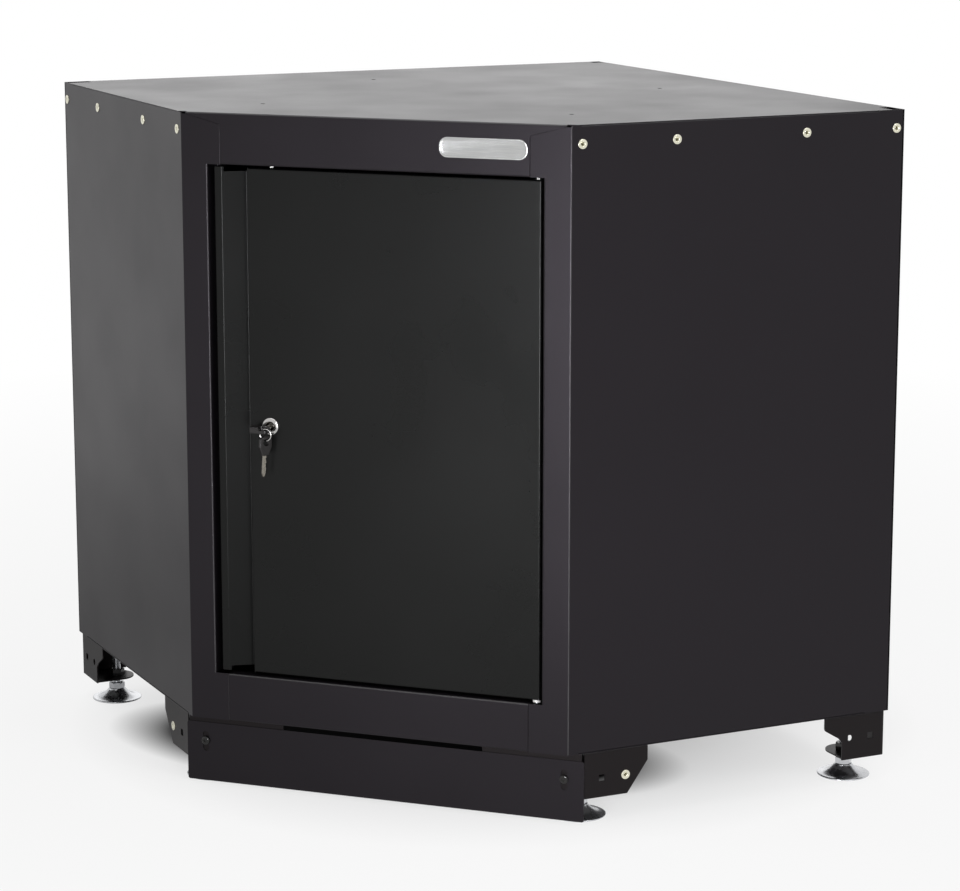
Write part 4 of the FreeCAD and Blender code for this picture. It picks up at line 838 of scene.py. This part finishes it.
def add_camera():
    """A camera where the photographer stood, looking down a little."""
    data = bpy.data.cameras.new("photo_camera")
    data.sensor_fit = "HORIZONTAL"
    data.sensor_width = SENSOR
    data.lens = CAMERA_LENS
    camera = bpy.data.objects.new("photo_camera", data)
    camera.location = CAMERA_PLACE
    camera.rotation_euler = (math.pi / 2 - CAMERA_PITCH, 0.0, CAMERA_YAW)
    bpy.context.scene.collection.objects.link(camera)
    bpy.context.scene.camera = camera


def softbox(name, place, aim, size, watts, colour=WHITE, spread=WIDE):
    """A soft rectangular lamp; a spread below the full half turn keeps its light to a beam."""
    data = bpy.data.lights.new(name, "AREA")
    data.shape = "RECTANGLE"
    data.size, data.size_y = size
    data.energy = watts
    data.color = colour
    data.spread = math.radians(spread)
    lamp = bpy.data.objects.new(name, data)
    lamp.location = place
    lamp.rotation_mode = "QUATERNION"
    lamp.rotation_quaternion = (Vector(aim) - Vector(place)).to_track_quat("-Z", "Y")
    lamp.visible_camera = False
    bpy.context.scene.collection.objects.link(lamp)


def add_floor():
    """A pale floor: nearly white where it is seen, with the real shadow, a painted dark shade under the
    front, and painted shade on its left that shows only in reflections.
    """
    bm = bmesh.new()
    bmesh.ops.create_grid(bm, x_segments=2, y_segments=2, size=FLOOR_HALF)
    mesh = bpy.data.meshes.new("studio_floor")
    bm.to_mesh(mesh)
    bm.free()
    finish = Finish("pale_floor", specular=0.0)
    # Painted shade: a dark patch painted on the floor under the front of the cabinet, seen through the gap
    # above the plinth and the holes of the brackets.
    outside = finish.span(finish.distance(SHADE_MIDDLE, SHADE_STRETCH), 0.0, 1.0, *SHADE_EDGE)
    pale = finish.tone(finish.span(finish.noise(FLOOR_CLOUDS), 0.0, 1.0), FLOOR_DARK, FLOOR_LIGHT)
    finish.colour(finish.blend(finish.span(outside, 1.0, 0.0, 0.0, 1.0), pale, SHADE_COLOUR))
    finish.shader.inputs["Roughness"].default_value = 1.0
    white = finish.add("ShaderNodeEmission")
    path = finish.add("ShaderNodeLightPath")
    shown = finish.span(finish.distance((0.0, 0.0, 0.0)), FLOOR_WHITE, 1.0, *FLOOR_WHITE_RUN)
    # Less white under the cabinet, so the real shadow shows more there; the floor is also a painted shade
    # darker there where it is lit.
    under = finish.span(finish.distance((0.0, 0.0, 0.0)), UNDER_WHITE, 1.0, *UNDER_RUN)
    shown = finish.combined("MULTIPLY", shown, under)
    # Painted shade seen only in reflections: mirror rays find less white on the floor towards the left,
    # which darkens the lower part of the left side panel.
    mirrored = finish.span(finish.distance(MIRRORED_PAINTED_SHADE_SIDE), *MIRRORED_WHITE, *MIRRORED_RUN)
    seen = finish.combined("MAXIMUM", path.outputs["Is Camera Ray"], path.outputs["Is Transmission Ray"])
    seen = finish.combined("MULTIPLY", seen, shown)
    reflected = finish.combined("MULTIPLY", path.outputs["Is Glossy Ray"], mirrored)
    seen = finish.combined("MAXIMUM", seen, reflected)
    mix = finish.add("ShaderNodeMixShader")
    finish.join(finish.combined("MULTIPLY", seen, outside), mix.inputs["Fac"])
    finish.join(finish.shader.outputs["BSDF"], mix.inputs[1])
    finish.join(white.outputs["Emission"], mix.inputs[2])
    finish.join(mix.outputs["Shader"], finish.tree.nodes["Material Output"].inputs["Surface"])
    finish.material.cycles.emission_sampling = "NONE"
    mesh.materials.append(finish.material)
    floor = bpy.data.objects.new("studio_floor", mesh)
    bpy.context.scene.collection.objects.link(floor)


def add_world():
    """A pale room: white where it is seen, and a soft even light otherwise."""
    world = bpy.data.worlds.new("pale_room")
    bpy.context.scene.world = world
    world.use_nodes = True
    world.cycles.sampling_method = "NONE"
    tree = world.node_tree
    tree.nodes.clear()
    output = tree.nodes.new("ShaderNodeOutputWorld")
    room = tree.nodes.new("ShaderNodeBackground")
    room.inputs["Color"].default_value = (1.0, 1.0, 1.0, 1.0)
    room.inputs["Strength"].default_value = ROOM_LIGHT
    white = tree.nodes.new("ShaderNodeBackground")
    white.inputs["Color"].default_value = (1.0, 1.0, 1.0, 1.0)
    path = tree.nodes.new("ShaderNodeLightPath")
    seen = path.outputs["Is Camera Ray"]
    for other in ("Is Glossy Ray", "Is Transmission Ray"):
        either = tree.nodes.new("ShaderNodeMath")
        either.operation = "MAXIMUM"
        tree.links.new(seen, either.inputs[0])
        tree.links.new(path.outputs[other], either.inputs[1])
        seen = either.outputs["Value"]
    mix = tree.nodes.new("ShaderNodeMixShader")
    tree.links.new(seen, mix.inputs["Fac"])
    tree.links.new(room.outputs["Background"], mix.inputs[1])
    tree.links.new(white.outputs["Background"], mix.inputs[2])
    tree.links.new(mix.outputs["Shader"], output.inputs["Surface"])


def add_lights():
    """Three low beams on the front, and soft banks to the right, overhead and behind."""
    softbox("front_low_left", (0.05, -3.0, 0.62), FRONT_AIM, (0.4, 0.5), 0.85, COOL_WHITE, spread=40.0)
    softbox("front_low_right", (0.45, -2.85, 0.6), FRONT_AIM, (0.5, 0.5), 2.0, COOL_WHITE, spread=40.0)
    softbox("front_ground", (0.35, -2.4, 0.25), (0.2, -0.47, 0.4), (0.6, 0.3), 1.0, spread=44.0)
    softbox("right_high", (2.4, -1.6, 2.4), (0.3, -0.2, 0.5), (1.2, 1.2), 24.0)
    softbox("overhead_bank", (0.0, 0.0, 3.4), (0.0, 0.0, 0.0), (2.6, 2.6), 42.0)
    softbox("back_bank", (-1.63, 3.6, 1.3), (0.0, 0.0, 0.9), (2.6, 1.6), 7.5)


for node, slot in node_slot.items():
    nodes[node].data.materials.clear()
    nodes[node].data.materials.append(FINISHES[slot])

add_feet()
add_rivet_nuts()
add_plinth_screws()
add_lock_and_keys()
add_badge_plate()
add_floor()
add_world()
add_lights()
add_camera()
bpy.context.scene.view_settings.view_transform = "Standard"
